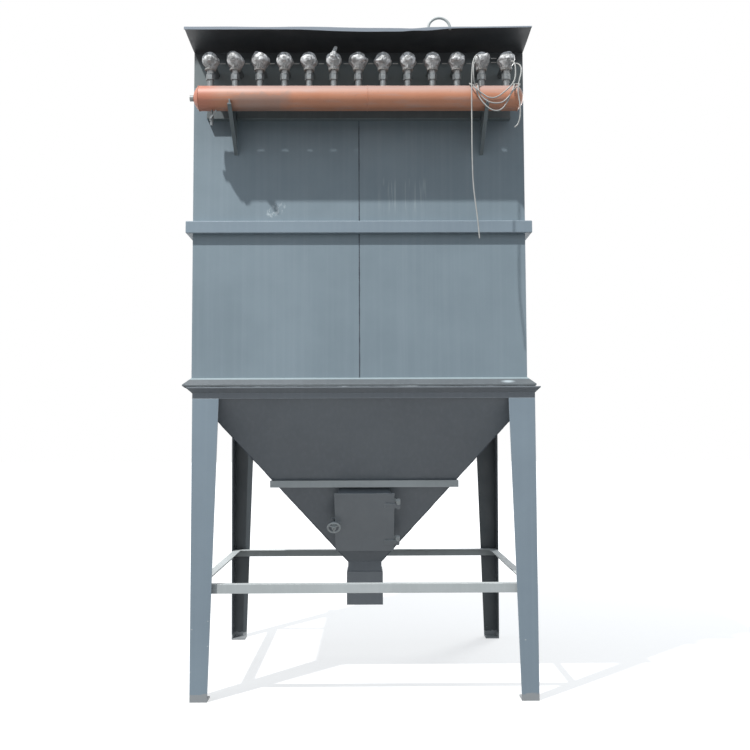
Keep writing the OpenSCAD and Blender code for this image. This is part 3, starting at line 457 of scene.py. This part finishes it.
def canopyEnamel():
    # wall paint on the upper side, a painted highlight along the lip, and an underside darkened as painted
    # shade
    look = paintLooks["wallEnamel"]
    material, colour, place = startEnamel("canopyEnamel", look)
    # painted shade: the underside darkened
    paintedShade = layPatches(material, place, canopyPaint["paintedShadeDark"], canopyPaint["paintedShadeGrey"], 300, 0.35, 0.65)
    colour = layOver(material, colour, paintedShade, facingShare(material, "Z", -0.75, -0.35, 1.0, 0.0))
    edgeY = boxOf("canopy")[0][1]
    # painted highlight along the front lip
    colour = layOver(material, colour, canopyPaint["lip"],
                     axisShare(material, place, "Y", edgeY + canopyPaint["lipFrom"],
                               edgeY + canopyPaint["lipTo"], 1.0, 0.0),
                     facingShare(material, "Z", -0.5, -0.3))
    return finishEnamel(material, look, colour, place)


# painted shade under the canopy: greyed all over, darker along the top
panelLook = {"grey": "#747a77", "shadeGreyShare": 0.7, "paintedShade": "#34373a",
             "paintedShadeFrom": 0.106, "paintedShadeFull": 0.046}  # metres below the panel's top


def shadedPanel():
    # wall enamel under the canopy: greyed all over and darkened along its top, both painted shade
    look = paintLooks["wallEnamel"]
    material, colour, place = startEnamel("shadedPanelEnamel", look)
    # painted shade, greyed all over
    colour = layOver(material, colour, panelLook["grey"], panelLook["shadeGreyShare"])
    top = boxOf("valve_panel")[1][2]
    wander = patchShare(material, place, 160, 0.3, 0.7, 0.03, least=-0.03)
    # painted shade along the top, under the canopy
    colour = layOver(material, colour, panelLook["paintedShade"],
                     axisShare(material, place, "Z", top - panelLook["paintedShadeFrom"],
                               top - panelLook["paintedShadeFull"], 0.0, 0.9, wander))
    return finishEnamel(material, look, colour, place)


# painted highlight along the top edge and a painted glint near the right end
skirtLook = {"line": "#98a7aa", "lineFrom": 0.014, "lineFull": 0.010,  # metres below its top
             "glint": (1.01, -1.075, 2.195), "glintLong": 0.056, "glintFlat": 4.5,
             "glintColour": "#b4bec1"}


def skirtEnamel():
    # the flange's sloping rain cover: dull grey, with a painted highlight along its upper edge and a
    # painted glint in one long spot near the right end
    look = paintLooks["skirtEnamel"]
    material, colour, place = startEnamel("skirtEnamel", look)
    top = boxOf("casing_flange")[1][2]
    # painted highlight along the upper edge
    colour = layOver(material, colour, skirtLook["line"],
                     axisShare(material, place, "Z", top - skirtLook["lineFrom"],
                               top - skirtLook["lineFull"], 0.0, 0.9))
    # painted glint in one long spot
    colour = layOver(material, colour, skirtLook["glintColour"],
                     spotShare(material, place, skirtLook["glint"], skirtLook["glintFlat"],
                               skirtLook["glintLong"] * 0.35, skirtLook["glintLong"], 0.95))
    return finishEnamel(material, look, colour, place)


finishes = {
    "wall": enamel("wallEnamel"), "frame": enamel("frameEnamel"), "hopper": enamel("hopperEnamel"),
    "door": enamel("doorEnamel"), "bracket": enamel("bracketEnamel"), "brace": enamel("braceEnamel"),
    "frontWall": markedWall(), "legs": leggedEnamel(), "canopy": canopyEnamel(),
    "panel": shadedPanel(), "skirt": skirtEnamel(), "primer": redPrimer(), "zinc": zincPlate(),
    "alloy": castAlloy(), "film": cloudedFilm(), "cable": cableJacket(), "rubber": grimyRubber(),
    "weld": paintedWeld(), "sealant": squeezedSealant(), "felt": needleFelt(),
}
nodeFinish = {
    "legs": ("legs", "foot_plates"),
    # painted light: the hopper stiffener takes the pale brace enamel to look lit, though it lies in the
    # rain cover's shadow
    "brace": ("braces", "roof_loop", "handwheel", "hopper_stiffener", "hinge_brackets"),
    "frame": ("middle_band", "lid_handles", "duct_stubs"),
    "bracket": ("header_brackets",),
    "door": ("hopper_door", "screw_catch", "discharge_sleeve"),
    "skirt": ("casing_flange",),
    "panel": ("valve_panel",),
    "wall": ("side_walls", "rear_wall", "roof_plate", "roof_lids"),
    "frontWall": ("front_wall",),
    "canopy": ("canopy",),
    # painted shade: these take the darker copy of the wall paint
    "hopper": ("hopper_front", "hopper_rear", "hopper_sides", "outlet_neck", "door_neck",
               "ring_beam"),
    "rubber": ("flange_gasket", "door_gasket"),
    "primer": ("header_pipe", "header_ends"),
    "zinc": ("tube_sheet", "valve_nipples", "blow_pipes", "door_screw", "header_fittings"),
    "alloy": ("valve_bodies", "valve_bonnets"),
    "felt": ("filter_bags",),
    "film": ("valve_wraps",),
    "cable": ("signal_wires", "drop_cable", "loop_cable", "tail_cable"),
}
for finish, names in nodeFinish.items():
    for name in names:
        data = nodes[name].data
        data.materials.clear()
        data.materials.append(finishes[finish])
print("materials given to", sum(map(len, nodeFinish.values())), "nodes")


def gridFaces(rows, columns, loopRows=False, loopColumns=True):
    # quads between neighbouring rows and columns of a grid, wrapped where it closes
    i = np.arange(rows if loopRows else rows - 1)[:, None]
    j = np.arange(columns if loopColumns else columns - 1)[None, :]
    nextI, nextJ = (i + 1) % rows, (j + 1) % columns
    corners = [i * columns + j, i * columns + nextJ, nextI * columns + nextJ, nextI * columns + j]
    return np.stack([c.reshape(-1) for c in np.broadcast_arrays(*corners)], axis=1)


def capFan(ring, centre, flip):
    # triangles from a ring's points to one point in its middle
    fan = np.stack([ring, np.roll(ring, -1), np.full(len(ring), centre)], axis=1)
    return fan[:, ::-1] if flip else fan


def makePiece(name, shapes, finish, smooth=True):
    # joins (points, faces) pairs into one mesh on the frame; faces are lists of index arrays
    points, faces, start = [], [], 0
    for shapePoints, shapeFaces in shapes:
        points.append(shapePoints)
        for block in shapeFaces:
            faces.extend((block + start).tolist())
        start += len(shapePoints)
    mesh = bpy.data.meshes.new(name)
    mesh.from_pydata(np.concatenate(points).tolist(), [], faces)
    mesh.update()
    mesh.polygons.foreach_set("use_smooth", np.full(len(mesh.polygons), smooth))
    mesh.materials.append(finishes[finish])
    piece = bpy.data.objects.new(name, mesh)
    scene.collection.objects.link(piece)
    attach(piece, "frame")
    return piece


def smoothPath(points, step):
    # a curve through the points, each span bending with its neighbours, cut at even steps
    p = np.asarray(points, float)
    padded = np.vstack([2 * p[0] - p[1], p, 2 * p[-1] - p[-2]])
    t = np.linspace(0, 1, 24, endpoint=False)[:, None]
    a, b, c, d = padded[:-3], padded[1:-2], padded[2:-1], padded[3:]
    spans = [0.5 * (2 * b[k] + (c[k] - a[k]) * t + (2 * a[k] - 5 * b[k] + 4 * c[k] - d[k]) * t ** 2
                    + (3 * b[k] - a[k] - 3 * c[k] + d[k]) * t ** 3) for k in range(len(a))]
    dense = np.vstack([*spans, p[-1:]])
    run = np.concatenate([[0], np.cumsum(np.linalg.norm(np.diff(dense, axis=0), axis=1))])
    even = np.linspace(0, run[-1], max(int(run[-1] / step), 2))
    return np.stack([np.interp(even, run, dense[:, k]) for k in range(3)], axis=1)


def carriedFrames(path, first):
    # two side directions at each point, carried along so that they never spin
    along = np.gradient(path, axis=0)
    along /= np.linalg.norm(along, axis=1, keepdims=True)
    side = np.array(first, float)
    if abs(side @ along[0]) > 0.95:  # nearly along the path, so another one is taken
        side = np.array((1.0, 0.0, 0.0))
    sides = []
    for direction in along:
        side = side - (side @ direction) * direction
        side = side / np.linalg.norm(side)
        sides.append(side)
    sides = np.array(sides)
    return sides, np.cross(along, sides)


def ringsAlong(path, radius, sides, u, v):
    # a round profile in the u and v directions at each point; radius may change along the path
    angle = np.linspace(0, 2 * math.pi, sides, endpoint=False)[None, :, None]
    r = np.broadcast_to(np.asarray(radius, float), (len(path),))[:, None, None]
    rings = path[:, None, :] + r * (np.cos(angle) * u[:, None, :] + np.sin(angle) * v[:, None, :])
    return rings.reshape(-1, 3)


def sweptTube(path, radius, sides, first=(0, 1, 0), flat=1.0):
    # a tube carried along the path and closed at both ends; flat squashes it across
    u, v = carriedFrames(path, first)
    points = np.vstack([ringsAlong(path, radius, sides, u, flat * v), path[:1], path[-1:]])
    count = len(path) * sides
    return points, [gridFaces(len(path), sides), capFan(np.arange(sides), count, True),
                    capFan(np.arange(sides) + count - sides, count + 1, False)]


def closedRing(path, radius, sides):
    # the same for a level path that comes back to its start
    along = np.roll(path, -1, 0) - np.roll(path, 1, 0)
    along /= np.linalg.norm(along, axis=1, keepdims=True)
    up = np.broadcast_to((0.0, 0.0, 1.0), along.shape)
    out = np.cross(along, up)
    out /= np.linalg.norm(out, axis=1, keepdims=True)
    return ringsAlong(path, radius, sides, out, -up), [gridFaces(len(path), sides, loopRows=True)]


cableLook = {
    "diameter": 0.009, "step": 0.006, "sides": 12,
    # routes in mm
    "drop": ((791, -1354, 4404), (780, -1374, 4405), (770, -1388, 4396), (758, -1396, 4374),
             (748, -1402, 4340), (742, -1407, 4295), (738, -1410, 4230), (737, -1411, 4140),
             (736, -1410, 4020), (736, -1408, 3890), (736, -1405, 3760), (738, -1403, 3630),
             (742, -1401, 3520), (751, -1399, 3420), (763, -1398, 3320), (774, -1397, 3220),
             (781, -1396, 3135)),
    "loop": ((1017, -1350, 4373), (1028, -1374, 4362), (1036, -1392, 4330), (1037, -1402, 4280),
             (1030, -1408, 4225), (1004, -1411, 4180), (958, -1411, 4137), (901, -1411, 4099),
             (850, -1411, 4099), (802, -1411, 4130), (766, -1409, 4160), (744, -1396, 4186),
             (732, -1370, 4206), (732, -1335, 4223), (742, -1302, 4230), (764, -1288, 4230),
             (782, -1306, 4230), (785, -1342, 4218), (783, -1374, 4190), (786, -1396, 4150),
             (808, -1401, 4107), (850, -1401, 4073), (900, -1401, 4062), (950, -1400, 4072),
             (992, -1396, 4112), (1018, -1388, 4158), (1030, -1370, 4192), (1034, -1342, 4217),
             (1046, -1308, 4230), (1064, -1306, 4230), (1074, -1334, 4221), (1066, -1362, 4199),
             (1036, -1385, 4170), (1005, -1391, 4128), (980, -1391, 4076), (945, -1391, 4028),
             (905, -1391, 4013), (860, -1391, 4028), (812, -1391, 4075), (778, -1388, 4135),
             (760, -1386, 4200), (754, -1384, 4265), (754, -1378, 4320), (761, -1363, 4356),
             (776, -1340, 4373)),
    "tail": ((1050, -1313, 4373), (1067, -1320, 4367), (1079, -1336, 4350), (1083, -1358, 4320),
             (1078, -1379, 4280), (1066, -1396, 4235), (1056, -1403, 4190), (1052, -1404, 4145),
             (1057, -1403, 4100), (1064, -1402, 4055), (1066, -1401, 4005), (1061, -1400, 3955),
             (1047, -1400, 3915), (1026, -1400, 3896)),
}


def addCable(name, route, replaced):
    path = smoothPath(np.array(route) / 1000, cableLook["step"])
    tube = sweptTube(path, cableLook["diameter"] / 2, cableLook["sides"])
    cable = makePiece(name, [tube], "cable")
    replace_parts(cable, replaced)


addCable("dropCable", cableLook["drop"], "drop_cable")
addCable("loopCable", cableLook["loop"], "loop_cable")
addCable("tailCable", cableLook["tail"], "tail_cable")


wrapLook = {
    # the bag's middle, in metres in front of the nipple's axis and above its top
    "forward": 0.007, "above": 0.090,
    "radius": 0.064, "deep": 1.10, "neckRadius": 0.034, "neckDrop": 0.073, "limit": 0.0705,
    # the valve inside: how far the film stays out at each angle from the valve's front, in mm
    "valveAngles": (0, 16, 26, 42, 55, 68, 90, 180), "valveReach": (61, 63, 57, 57, 63, 58, 53, 48),
    "rows": 76, "columns": 84, "facets": 24, "foldSharpness": 22,
    # the share of the rows that the gathered neck takes, and how far down the ball goes from its
    # crown, in degrees
    "funnel": 0.34, "ballTo": 112,
    "pleats": 13, "morePleats": 5, "pleatDeep": 0.0042, "pleatAt": 0.16,
    # creases as a number of waves, shortest, longest and how deep they are, in metres
    "longCreases": (7, 0.034, 0.070, 0.0050), "fineCreases": (9, 0.013, 0.026, 0.0012),
    # each bag's half width, crown height and how deep its belly hangs, as shares of the radius,
    # then how far the crown leans right and how far the belly droops right, in mm
    "shapes": ((0.74, 1.00, 0.75, -6, 18), (0.94, 1.00, 0.62, -12, 16), (1.00, 0.94, 0.60, -6, 10),
               (0.92, 0.80, 0.66, -6, 8), (0.92, 0.78, 0.80, 0, 0), (0.78, 0.50, 0.80, 0, 0),
               (1.00, 0.78, 0.55, -4, 2), (0.92, 0.74, 0.82, 0, -2), (0.86, 0.82, 0.76, 0, 2),
               (0.94, 0.78, 0.55, 0, -2), (0.94, 0.84, 0.62, 2, -4), (0.96, 0.88, 0.55, 16, -8),
               (0.94, 1.02, 0.42, 16, -8)),
    "seed": 7,
}


def bagCentres(look):
    # a row over the nipples: the end nuts' corners stand out by their width over root 3
    low, high = boxOf("valve_nipples")
    corner = (high[1] - low[1]) / math.sqrt(3)
    x = np.linspace(low[0] + corner, high[0] - corner, len(look["shapes"]))
    y = (low[1] + high[1]) / 2 - look["forward"]
    return np.stack([x, np.full_like(x, y), np.full_like(x, high[2] + look["above"])], axis=1)


def facetedBall(directions, generator, look):
    # a ball cut by random planes: in each direction the nearest plane gives the radius,
    # and a power mean rounds the folds between the planes a little
    normals = generator.normal(size=(look["facets"], 3))
    normals /= np.linalg.norm(normals, axis=1, keepdims=True)
    distances = generator.uniform(0.84, 1.0, look["facets"])
    nearness = np.maximum(directions @ normals.T, 0) / distances
    power = look["foldSharpness"]
    return np.minimum((nearness ** power).sum(axis=1) ** (-1 / power), 1.08)


def creases(points, generator, count, low, high, deep):
    # sharp ridges: folded sine waves of random direction and length, added together
    total = np.zeros(len(points))
    for _ in range(count):
        direction = generator.normal(size=3)
        direction /= np.linalg.norm(direction)
        length = generator.uniform(low, high)
        phase = generator.uniform(0, 2 * math.pi)
        total += length / high * (0.64 - np.abs(np.sin(points @ direction * math.pi / length + phase)))
    return total / count ** 0.5 * deep


def filmBag(shape, centre, look, generator):
    # height runs from the tied neck to the crown and round is the angle about the nipple: a
    # gathered funnel that swells into a faceted ball, with pleats at the neck and creases above
    wide, tall, belly, lean, droop = shape
    size, funnel, ballTo = look["radius"], look["funnel"], math.radians(look["ballTo"])
    height = np.linspace(0, 1, look["rows"])[:, None]
    angle = np.linspace(0, 2 * math.pi, look["columns"], endpoint=False)[None, :]
    up = np.clip((height - funnel) / (1 - funnel), 0, 1)
    polar = ballTo * (1 - up)  # from the crown
    ballRadius = np.sin(polar) * size * wide
    ballZ = np.cos(polar) * size * np.where(polar < math.pi / 2, tall, belly)
    jointRadius = math.sin(ballTo) * size * wide
    jointZ = math.cos(ballTo) * size * belly
    down = np.clip(height / funnel, 0, 1)
    swell = down ** (0.9 + 1.4 * belly)
    radius = np.where(height < funnel, look["neckRadius"] + (jointRadius - look["neckRadius"]) * swell,
                      ballRadius)
    z = np.where(height < funnel, -look["neckDrop"] + (jointZ + look["neckDrop"]) * down, ballZ)
    pleats = look["pleats"] + int(generator.integers(0, look["morePleats"]))
    depth = look["pleatDeep"] * np.exp(-((height - look["pleatAt"]) / look["pleatAt"]) ** 2)
    swirl = angle + 0.8 * height * generator.uniform(-1, 1)
    radius = radius + depth * (0.5 - np.abs(np.sin(swirl * pleats / 2)))
    x, y = radius * np.cos(angle), radius * np.sin(angle)
    points = np.stack([x, y, np.broadcast_to(z, x.shape)], axis=-1).reshape(-1, 3)
    outward = points / np.maximum(np.linalg.norm(points, axis=1, keepdims=True), 1e-6)
    upper = np.clip((np.repeat(height[:, 0], look["columns"]) - 0.20) / 0.25, 0, 1)[:, None]
    cut = facetedBall(outward, generator, look)[:, None]
    points = points * (1 + upper * (cut - 1))
    shift = creases(points, generator, *look["longCreases"])
    shift += creases(points, generator, *look["fineCreases"])
    points = points + outward * shift[:, None] * (0.25 + 0.75 * upper)
    reach = np.clip((points[:, 2] + look["neckDrop"]) / (look["neckDrop"] + size), 0, 1)
    points[:, 0] += lean / 1000 * reach ** 1.5 + droop / 1000 * np.sin(math.pi * reach) ** 2
    points[:, 1] *= look["deep"]
    away = np.linalg.norm(points, axis=1, keepdims=True)
    fromFront = np.degrees(np.arccos(np.clip(-points[:, 1:2] / away, -1, 1)))
    reached = np.interp(fromFront, look["valveAngles"], look["valveReach"]) / 1000
    points *= np.clip(away, reached, look["limit"]) / away
    crown = look["columns"] * (look["rows"] - 1)
    points[crown:] = points[crown:].mean(axis=0)
    points = np.vstack([points[:crown + 1], [[0, 0, points[0, 2] + 0.004]]]) + centre
    ring = np.arange(look["columns"])
    faces = [gridFaces(look["rows"] - 1, look["columns"]),
             capFan(ring + crown - look["columns"], crown, False), capFan(ring, crown + 1, True)]
    return points, faces


centres = bagCentres(wrapLook)
generator = np.random.default_rng(wrapLook["seed"])
bags = [filmBag(*bag, wrapLook, generator) for bag in zip(wrapLook["shapes"], centres)]
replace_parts(makePiece("filmBags", bags, "film"), "valve_wraps")


twistLook = {
    "index": 5, "base": (-0.010, -0.064, 0.004), "tip": (0.017, -0.050, 0.082),  # from the bag's middle
    "width": 0.021, "steps": 40, "sides": 20, "creases": (10, 0.008, 0.022, 0.0020),
}


def filmTwist(look, generator):
    # the bag's closed end: a flattened cone that narrows to a blunt twisted tip
    t = np.linspace(0, 1, look["steps"])
    base, tip = np.array(look["base"]), np.array(look["tip"])
    path = centres[look["index"]] + base + (tip - base) * t[:, None]
    radius = look["width"] * (1 - 0.50 * t) * (1 + 0.08 * np.sin(t * 30)) * np.minimum(1, 0.5 + t * 6)
    points, faces = sweptTube(path, radius, look["sides"], first=(1, 0, 0), flat=0.5)
    shift = creases(points, generator, *look["creases"])
    return points + np.stack([shift, shift, 0 * shift], axis=1), faces


makePiece("filmTwist", [filmTwist(twistLook, generator)], "film")


tieLook = {"radius": 0.0355, "height": 0.009, "drop": 0.068, "cord": 0.0014, "wobble": 0.0010,
           "turns": 3, "steps": 110}


def neckTie(centre, look, generator):
    # a band of cord wound round a bag's neck, a little out of round
    turns = np.linspace(0, look["turns"] * 2 * math.pi, look["steps"])
    radius = look["radius"] + look["wobble"] * np.sin(turns * 2.3 + generator.uniform(0, 6))
    path = centre + np.stack([radius * np.cos(turns), radius * np.sin(turns),
                              turns / turns[-1] * look["height"] - look["drop"]], axis=1)
    return sweptTube(path, look["cord"], 6, first=(0, 0, 1))


makePiece("neckTies", [neckTie(centre, tieLook, generator) for centre in centres], "cable")
print("film bags made")


canopyLook = {
    # how far the sheet lies inside the node's box in front and on top, and off the wall
    "inset": 0.0005, "offWall": 0.0002,
    "thick": 0.004, "columns": 160, "rows": 24, "lipRows": 6,
    # along the front edge: x, how far the edge stands up, and how deep its lip is
    "edge": ((-1.210, 0.016, 0.020), (-0.90, 0.016, 0.021), (-0.65, 0.014, 0.016), (-0.45, 0.015, 0.020),
             (-0.22, 0.012, 0.027), (0.03, 0.006, 0.027), (0.27, 0.005, 0.024), (0.34, 0.003, 0.014),
             (0.45, 0.013, 0.024), (0.60, 0.014, 0.012), (0.77, 0.014, 0.010), (0.90, 0.017, 0.010),
             (1.150, 0.020, 0.010)),
    "soften": 9,  # columns that a bend in the edge is spread over
    "ripple": 0.0015,
}


def canopySheet(look):
    # a closed profile from the wall to the lip and back below, at each place along the front:
    # the front edge's waves fade to nothing at the wall
    low, high = boxOf("canopy")
    rear, front, height = high[1] - look["offWall"], low[1] + look["inset"], high[2] - look["inset"]
    x = np.linspace(low[0], high[0], look["columns"])[None, :]
    places, risen, deep = np.array(look["edge"]).T
    kernel = np.hanning(look["soften"])

    def softened(values):
        values = np.interp(x[0], places, values)
        return np.convolve(np.pad(values, len(kernel) // 2, mode="edge"), kernel / kernel.sum(),
                           mode="valid")[None, :]

    flat = np.linspace(0, 1, look["rows"])[:, None]
    y = rear - (rear - front) * flat
    wave = softened(risen) + look["ripple"] * np.sin(x * 9.0 + 1.2) * np.sin(x * 3.1)
    top = height + wave * flat ** 1.6
    drop = np.linspace(0, 1, look["lipRows"] + 1)[1:, None] * softened(deep)
    outerY = np.vstack([np.broadcast_to(y, top.shape), np.full((look["lipRows"], x.shape[1]), front)])
    outerZ = np.vstack([top, top[-1] - drop])
    innerY = np.maximum(outerY, front + look["thick"])
    innerZ = np.vstack([top - look["thick"], np.minimum(top[-1] - drop, top[-1] - look["thick"])])
    loopY = np.vstack([outerY, innerY[::-1]])
    loopZ = np.vstack([outerZ, innerZ[::-1]])
    loopX = np.broadcast_to(x, loopY.shape)
    total, columns = loopX.shape
    faces = [gridFaces(total, columns, loopRows=True, loopColumns=False)[:, ::-1]]
    strip = np.arange(total // 2 - 1)
    for column, flip in ((0, True), (columns - 1, False)):
        ends = np.stack([strip, strip + 1, total - 2 - strip, total - 1 - strip], axis=1) * columns + column
        faces.append(ends[:, ::-1] if flip else ends)
    return np.stack([loopX, loopY, loopZ], axis=-1).reshape(-1, 3), faces


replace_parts(makePiece("canopySheet", [canopySheet(canopyLook)], "canopy", smooth=False),
            "canopy")


weldLook = {
    "width": 0.0035, "step": 0.006, "proud": 0.0005, "seed": 3,
    # the header's girth welds: their width, how much it varies, and how far right of the pipe's
    # middle the joint between its two lengths is
    "girth": 0.0028, "girthRipple": 0.0005, "girthSteps": 160, "jointRight": 0.062,
}


def weldRun(start, end, generator):
    # a bead with an uneven, rippled thickness along a straight joint
    start, end = np.array(start, float), np.array(end, float)
    count = max(int(np.linalg.norm(end - start) / weldLook["step"]), 4)
    path = start + (end - start) * np.linspace(0, 1, count)[:, None]
    slow = np.convolve(generator.normal(size=count + 8), np.ones(9) / 9, mode="valid")[:count]
    ripple = 1 + 0.12 * np.sin(np.arange(count) * 2.1) + 0.5 * slow
    return sweptTube(path, weldLook["width"] * np.clip(ripple, 0.6, 1.5), 6)


def sheetWelds(generator):
    # the butt joint of the front sheets below and above the middle band, then the hopper's corners
    wallLow, wallHigh = boxOf("front_wall")
    bandLow, bandHigh = boxOf("middle_band")
    frontY = wallLow[1] - weldLook["proud"]
    middleX = (wallLow[0] + wallHigh[0]) / 2
    runs = [weldRun((middleX, frontY, low), (middleX, frontY, high), generator)
            for low, high in ((boxOf("casing_flange")[1][2], bandLow[2]), (bandHigh[2], wallHigh[2]))]
    topLow, topHigh = boxOf("hopper_front")
    neckLow, neckHigh = boxOf("outlet_neck")
    rearY = boxOf("hopper_rear")[1][1]
    for topX, lowX in ((topLow[0], neckLow[0]), (topHigh[0], neckHigh[0])):
        for topY, lowY in ((topLow[1], neckLow[1]), (rearY, neckHigh[1])):
            runs.append(weldRun((topX, topY, topHigh[2]), (lowX, lowY, topLow[2]), generator))
    return runs


def girthWeld(place, low, high, generator):
    # a ripple-topped bead once round the pipe, sunk by half its height into the pipe's wall
    turns = np.linspace(0, 2 * math.pi, weldLook["girthSteps"])
    radius = (high[2] - low[2]) / 2
    centre = (low + high) / 2
    path = np.stack([np.full_like(turns, place), centre[1] + radius * np.cos(turns),
                     centre[2] + radius * np.sin(turns)], axis=1)
    width = weldLook["girth"] + weldLook["girthRipple"] * generator.uniform(-1, 1, len(turns))
    return sweptTube(path, width, 6, first=(1, 0, 0))


weldGenerator = np.random.default_rng(weldLook["seed"])
makePiece("sheetWelds", sheetWelds(weldGenerator), "weld")
headerLow, headerHigh = boxOf("header_pipe")
joint = (headerLow[0] + headerHigh[0]) / 2 + weldLook["jointRight"]
makePiece("headerWelds", [girthWeld(place, headerLow, headerHigh, weldGenerator)
                          for place in (headerLow[0], joint, headerHigh[0])], "primer")


sealantLook = {"step": 0.010, "out": 0.003, "thin": 0.0030, "thick": 0.0125, "sag": 0.007,
               "lift": 0.005, "seed": 11}


def squeezedSeal(look):
    # a closed bead round the flange joint; its thickness and drop wander along its length
    low, high = boxOf("flange_gasket")
    z = (low[2] + high[2]) / 2
    low, high = low - look["out"], high + look["out"]
    corners = np.array([(low[0], low[1], z), (high[0], low[1], z), (high[0], high[1], z),
                        (low[0], high[1], z)])
    sides = []
    for a, b in zip(corners, np.roll(corners, -1, axis=0)):
        steps = int(np.linalg.norm(b - a) / look["step"])
        sides.append(a + (b - a) * np.linspace(0, 1, steps, endpoint=False)[:, None])
    path = np.vstack(sides)
    count = len(path)
    generator = np.random.default_rng(look["seed"])

    def wander(width):
        kernel = np.hanning(width)
        values = np.convolve(np.tile(generator.normal(size=count), 3), kernel / kernel.sum(), mode="same")
        values = values[count:2 * count]
        return (values - values.min()) / (values.max() - values.min())

    share = np.clip(0.75 * wander(21) + 0.35 * wander(7) - 0.30, 0, 0.7) / 0.7
    radius = look["thin"] + (look["thick"] - look["thin"]) * share
    path[:, 2] -= look["sag"] * wander(25) - look["lift"]
    return closedRing(path, radius, 8)


makePiece("squeezedSeal", [squeezedSeal(sealantLook)], "sealant")
print("canopy, welds and sealant made")


stageLook = {
    "floorSize": 60.0,
    "floorBounce": "#686766",  # what the object sees of the floor
    "floorShown": "#b5b5b4",  # what the camera sees of it, over a glow that keeps it near white
    "glow": 0.62,
    "fade": (4.0, 12.0),  # metres from the middle over which the glow grows to plain white
    "world": "#dce6f1",
    "worldStrength": 0.76,
    "target": (0, -0.5, 2.6),
    "keyWay": (-0.373, -0.439, 0.817),  # from the target towards the key light
    "keyAway": 28.0,
    "keySize": 0.6,
    "keyPower": 9000.0,
    "backPlace": (6.5, 9.0, 7.0),
    "backSize": 4.0,
    "backPower": 500.0,
}


def addFloor(look):
    # pale floor that takes the object's shadow and fades to plain white away from it
    corners = np.array([(-1, -1, 0), (1, -1, 0), (1, 1, 0), (-1, 1, 0)]) * look["floorSize"]
    mesh = bpy.data.meshes.new("floor")
    mesh.from_pydata((corners - (0, 0, 0.001)).tolist(), [], [(0, 1, 2, 3)])
    floor = bpy.data.objects.new("floor", mesh)
    scene.collection.objects.link(floor)
    material = newMaterial("paleFloor")
    away = addNode(material, "ShaderNodeVectorMath", {0: objectPlace(material)},
                   operation="LENGTH").outputs["Value"]
    seen = addNode(material, "ShaderNodeLightPath")
    rays = addNode(material, "ShaderNodeMath", {0: seen.outputs["Is Camera Ray"],
                                                1: seen.outputs["Is Glossy Ray"]}, operation="MAXIMUM")
    strength = addNode(material, "ShaderNodeMapRange", {0: away, 1: look["fade"][0], 2: look["fade"][1],
                                                        3: look["glow"], 4: 1.0})
    glow = addNode(material, "ShaderNodeEmission", {"Strength": strength.outputs[0]})
    shown = addNode(material, "ShaderNodeBsdfDiffuse", {"Color": linearColour(look["floorShown"])})
    both = addNode(material, "ShaderNodeAddShader", {0: glow.outputs[0], 1: shown.outputs[0]})
    bounce = addNode(material, "ShaderNodeBsdfDiffuse", {"Color": linearColour(look["floorBounce"])})
    shader = addNode(material, "ShaderNodeMixShader",
                     {0: rays.outputs[0], 1: bounce.outputs[0], 2: both.outputs[0]})
    addNode(material, "ShaderNodeOutputMaterial", {"Surface": shader.outputs[0]})
    mesh.materials.append(material)


def addWorld(look):
    # soft sky light on the object, plain white behind it and in what it reflects
    world = bpy.data.worlds.new("softSky")
    scene.world = world
    world.use_nodes = True
    world.node_tree.nodes.clear()
    seen = addNode(world, "ShaderNodeLightPath")
    rays = seen.outputs["Is Camera Ray"]
    for name in ("Is Transmission Ray", "Is Glossy Ray"):
        rays = addNode(world, "ShaderNodeMath", {0: rays, 1: seen.outputs[name]},
                       operation="MAXIMUM").outputs[0]
    sky = addNode(world, "ShaderNodeBackground",
                  {"Color": linearColour(look["world"]), "Strength": look["worldStrength"]})
    white = addNode(world, "ShaderNodeBackground", {"Color": (1, 1, 1, 1), "Strength": 1.0})
    mix = addNode(world, "ShaderNodeMixShader", {0: rays, 1: sky.outputs[0], 2: white.outputs[0]})
    addNode(world, "ShaderNodeOutputWorld", {"Surface": mix.outputs[0]})


def addSoftbox(name, place, target, size, power):
    lamp = bpy.data.lights.new(name, "AREA")
    lamp.shape = "DISK"
    lamp.size = size
    lamp.energy = power
    light = bpy.data.objects.new(name, lamp)
    scene.collection.objects.link(light)
    light.location = place
    light.rotation_euler = (target - Vector(place)).to_track_quat("-Z", "Y").to_euler()


addFloor(stageLook)
addWorld(stageLook)
target = Vector(stageLook["target"])
addSoftbox("keyLight", target + stageLook["keyAway"] * Vector(stageLook["keyWay"]), target,
           stageLook["keySize"], stageLook["keyPower"])
addSoftbox("backLight", stageLook["backPlace"], target, stageLook["backSize"], stageLook["backPower"])
scene.view_settings.view_transform = "Standard"
print("stage lit")
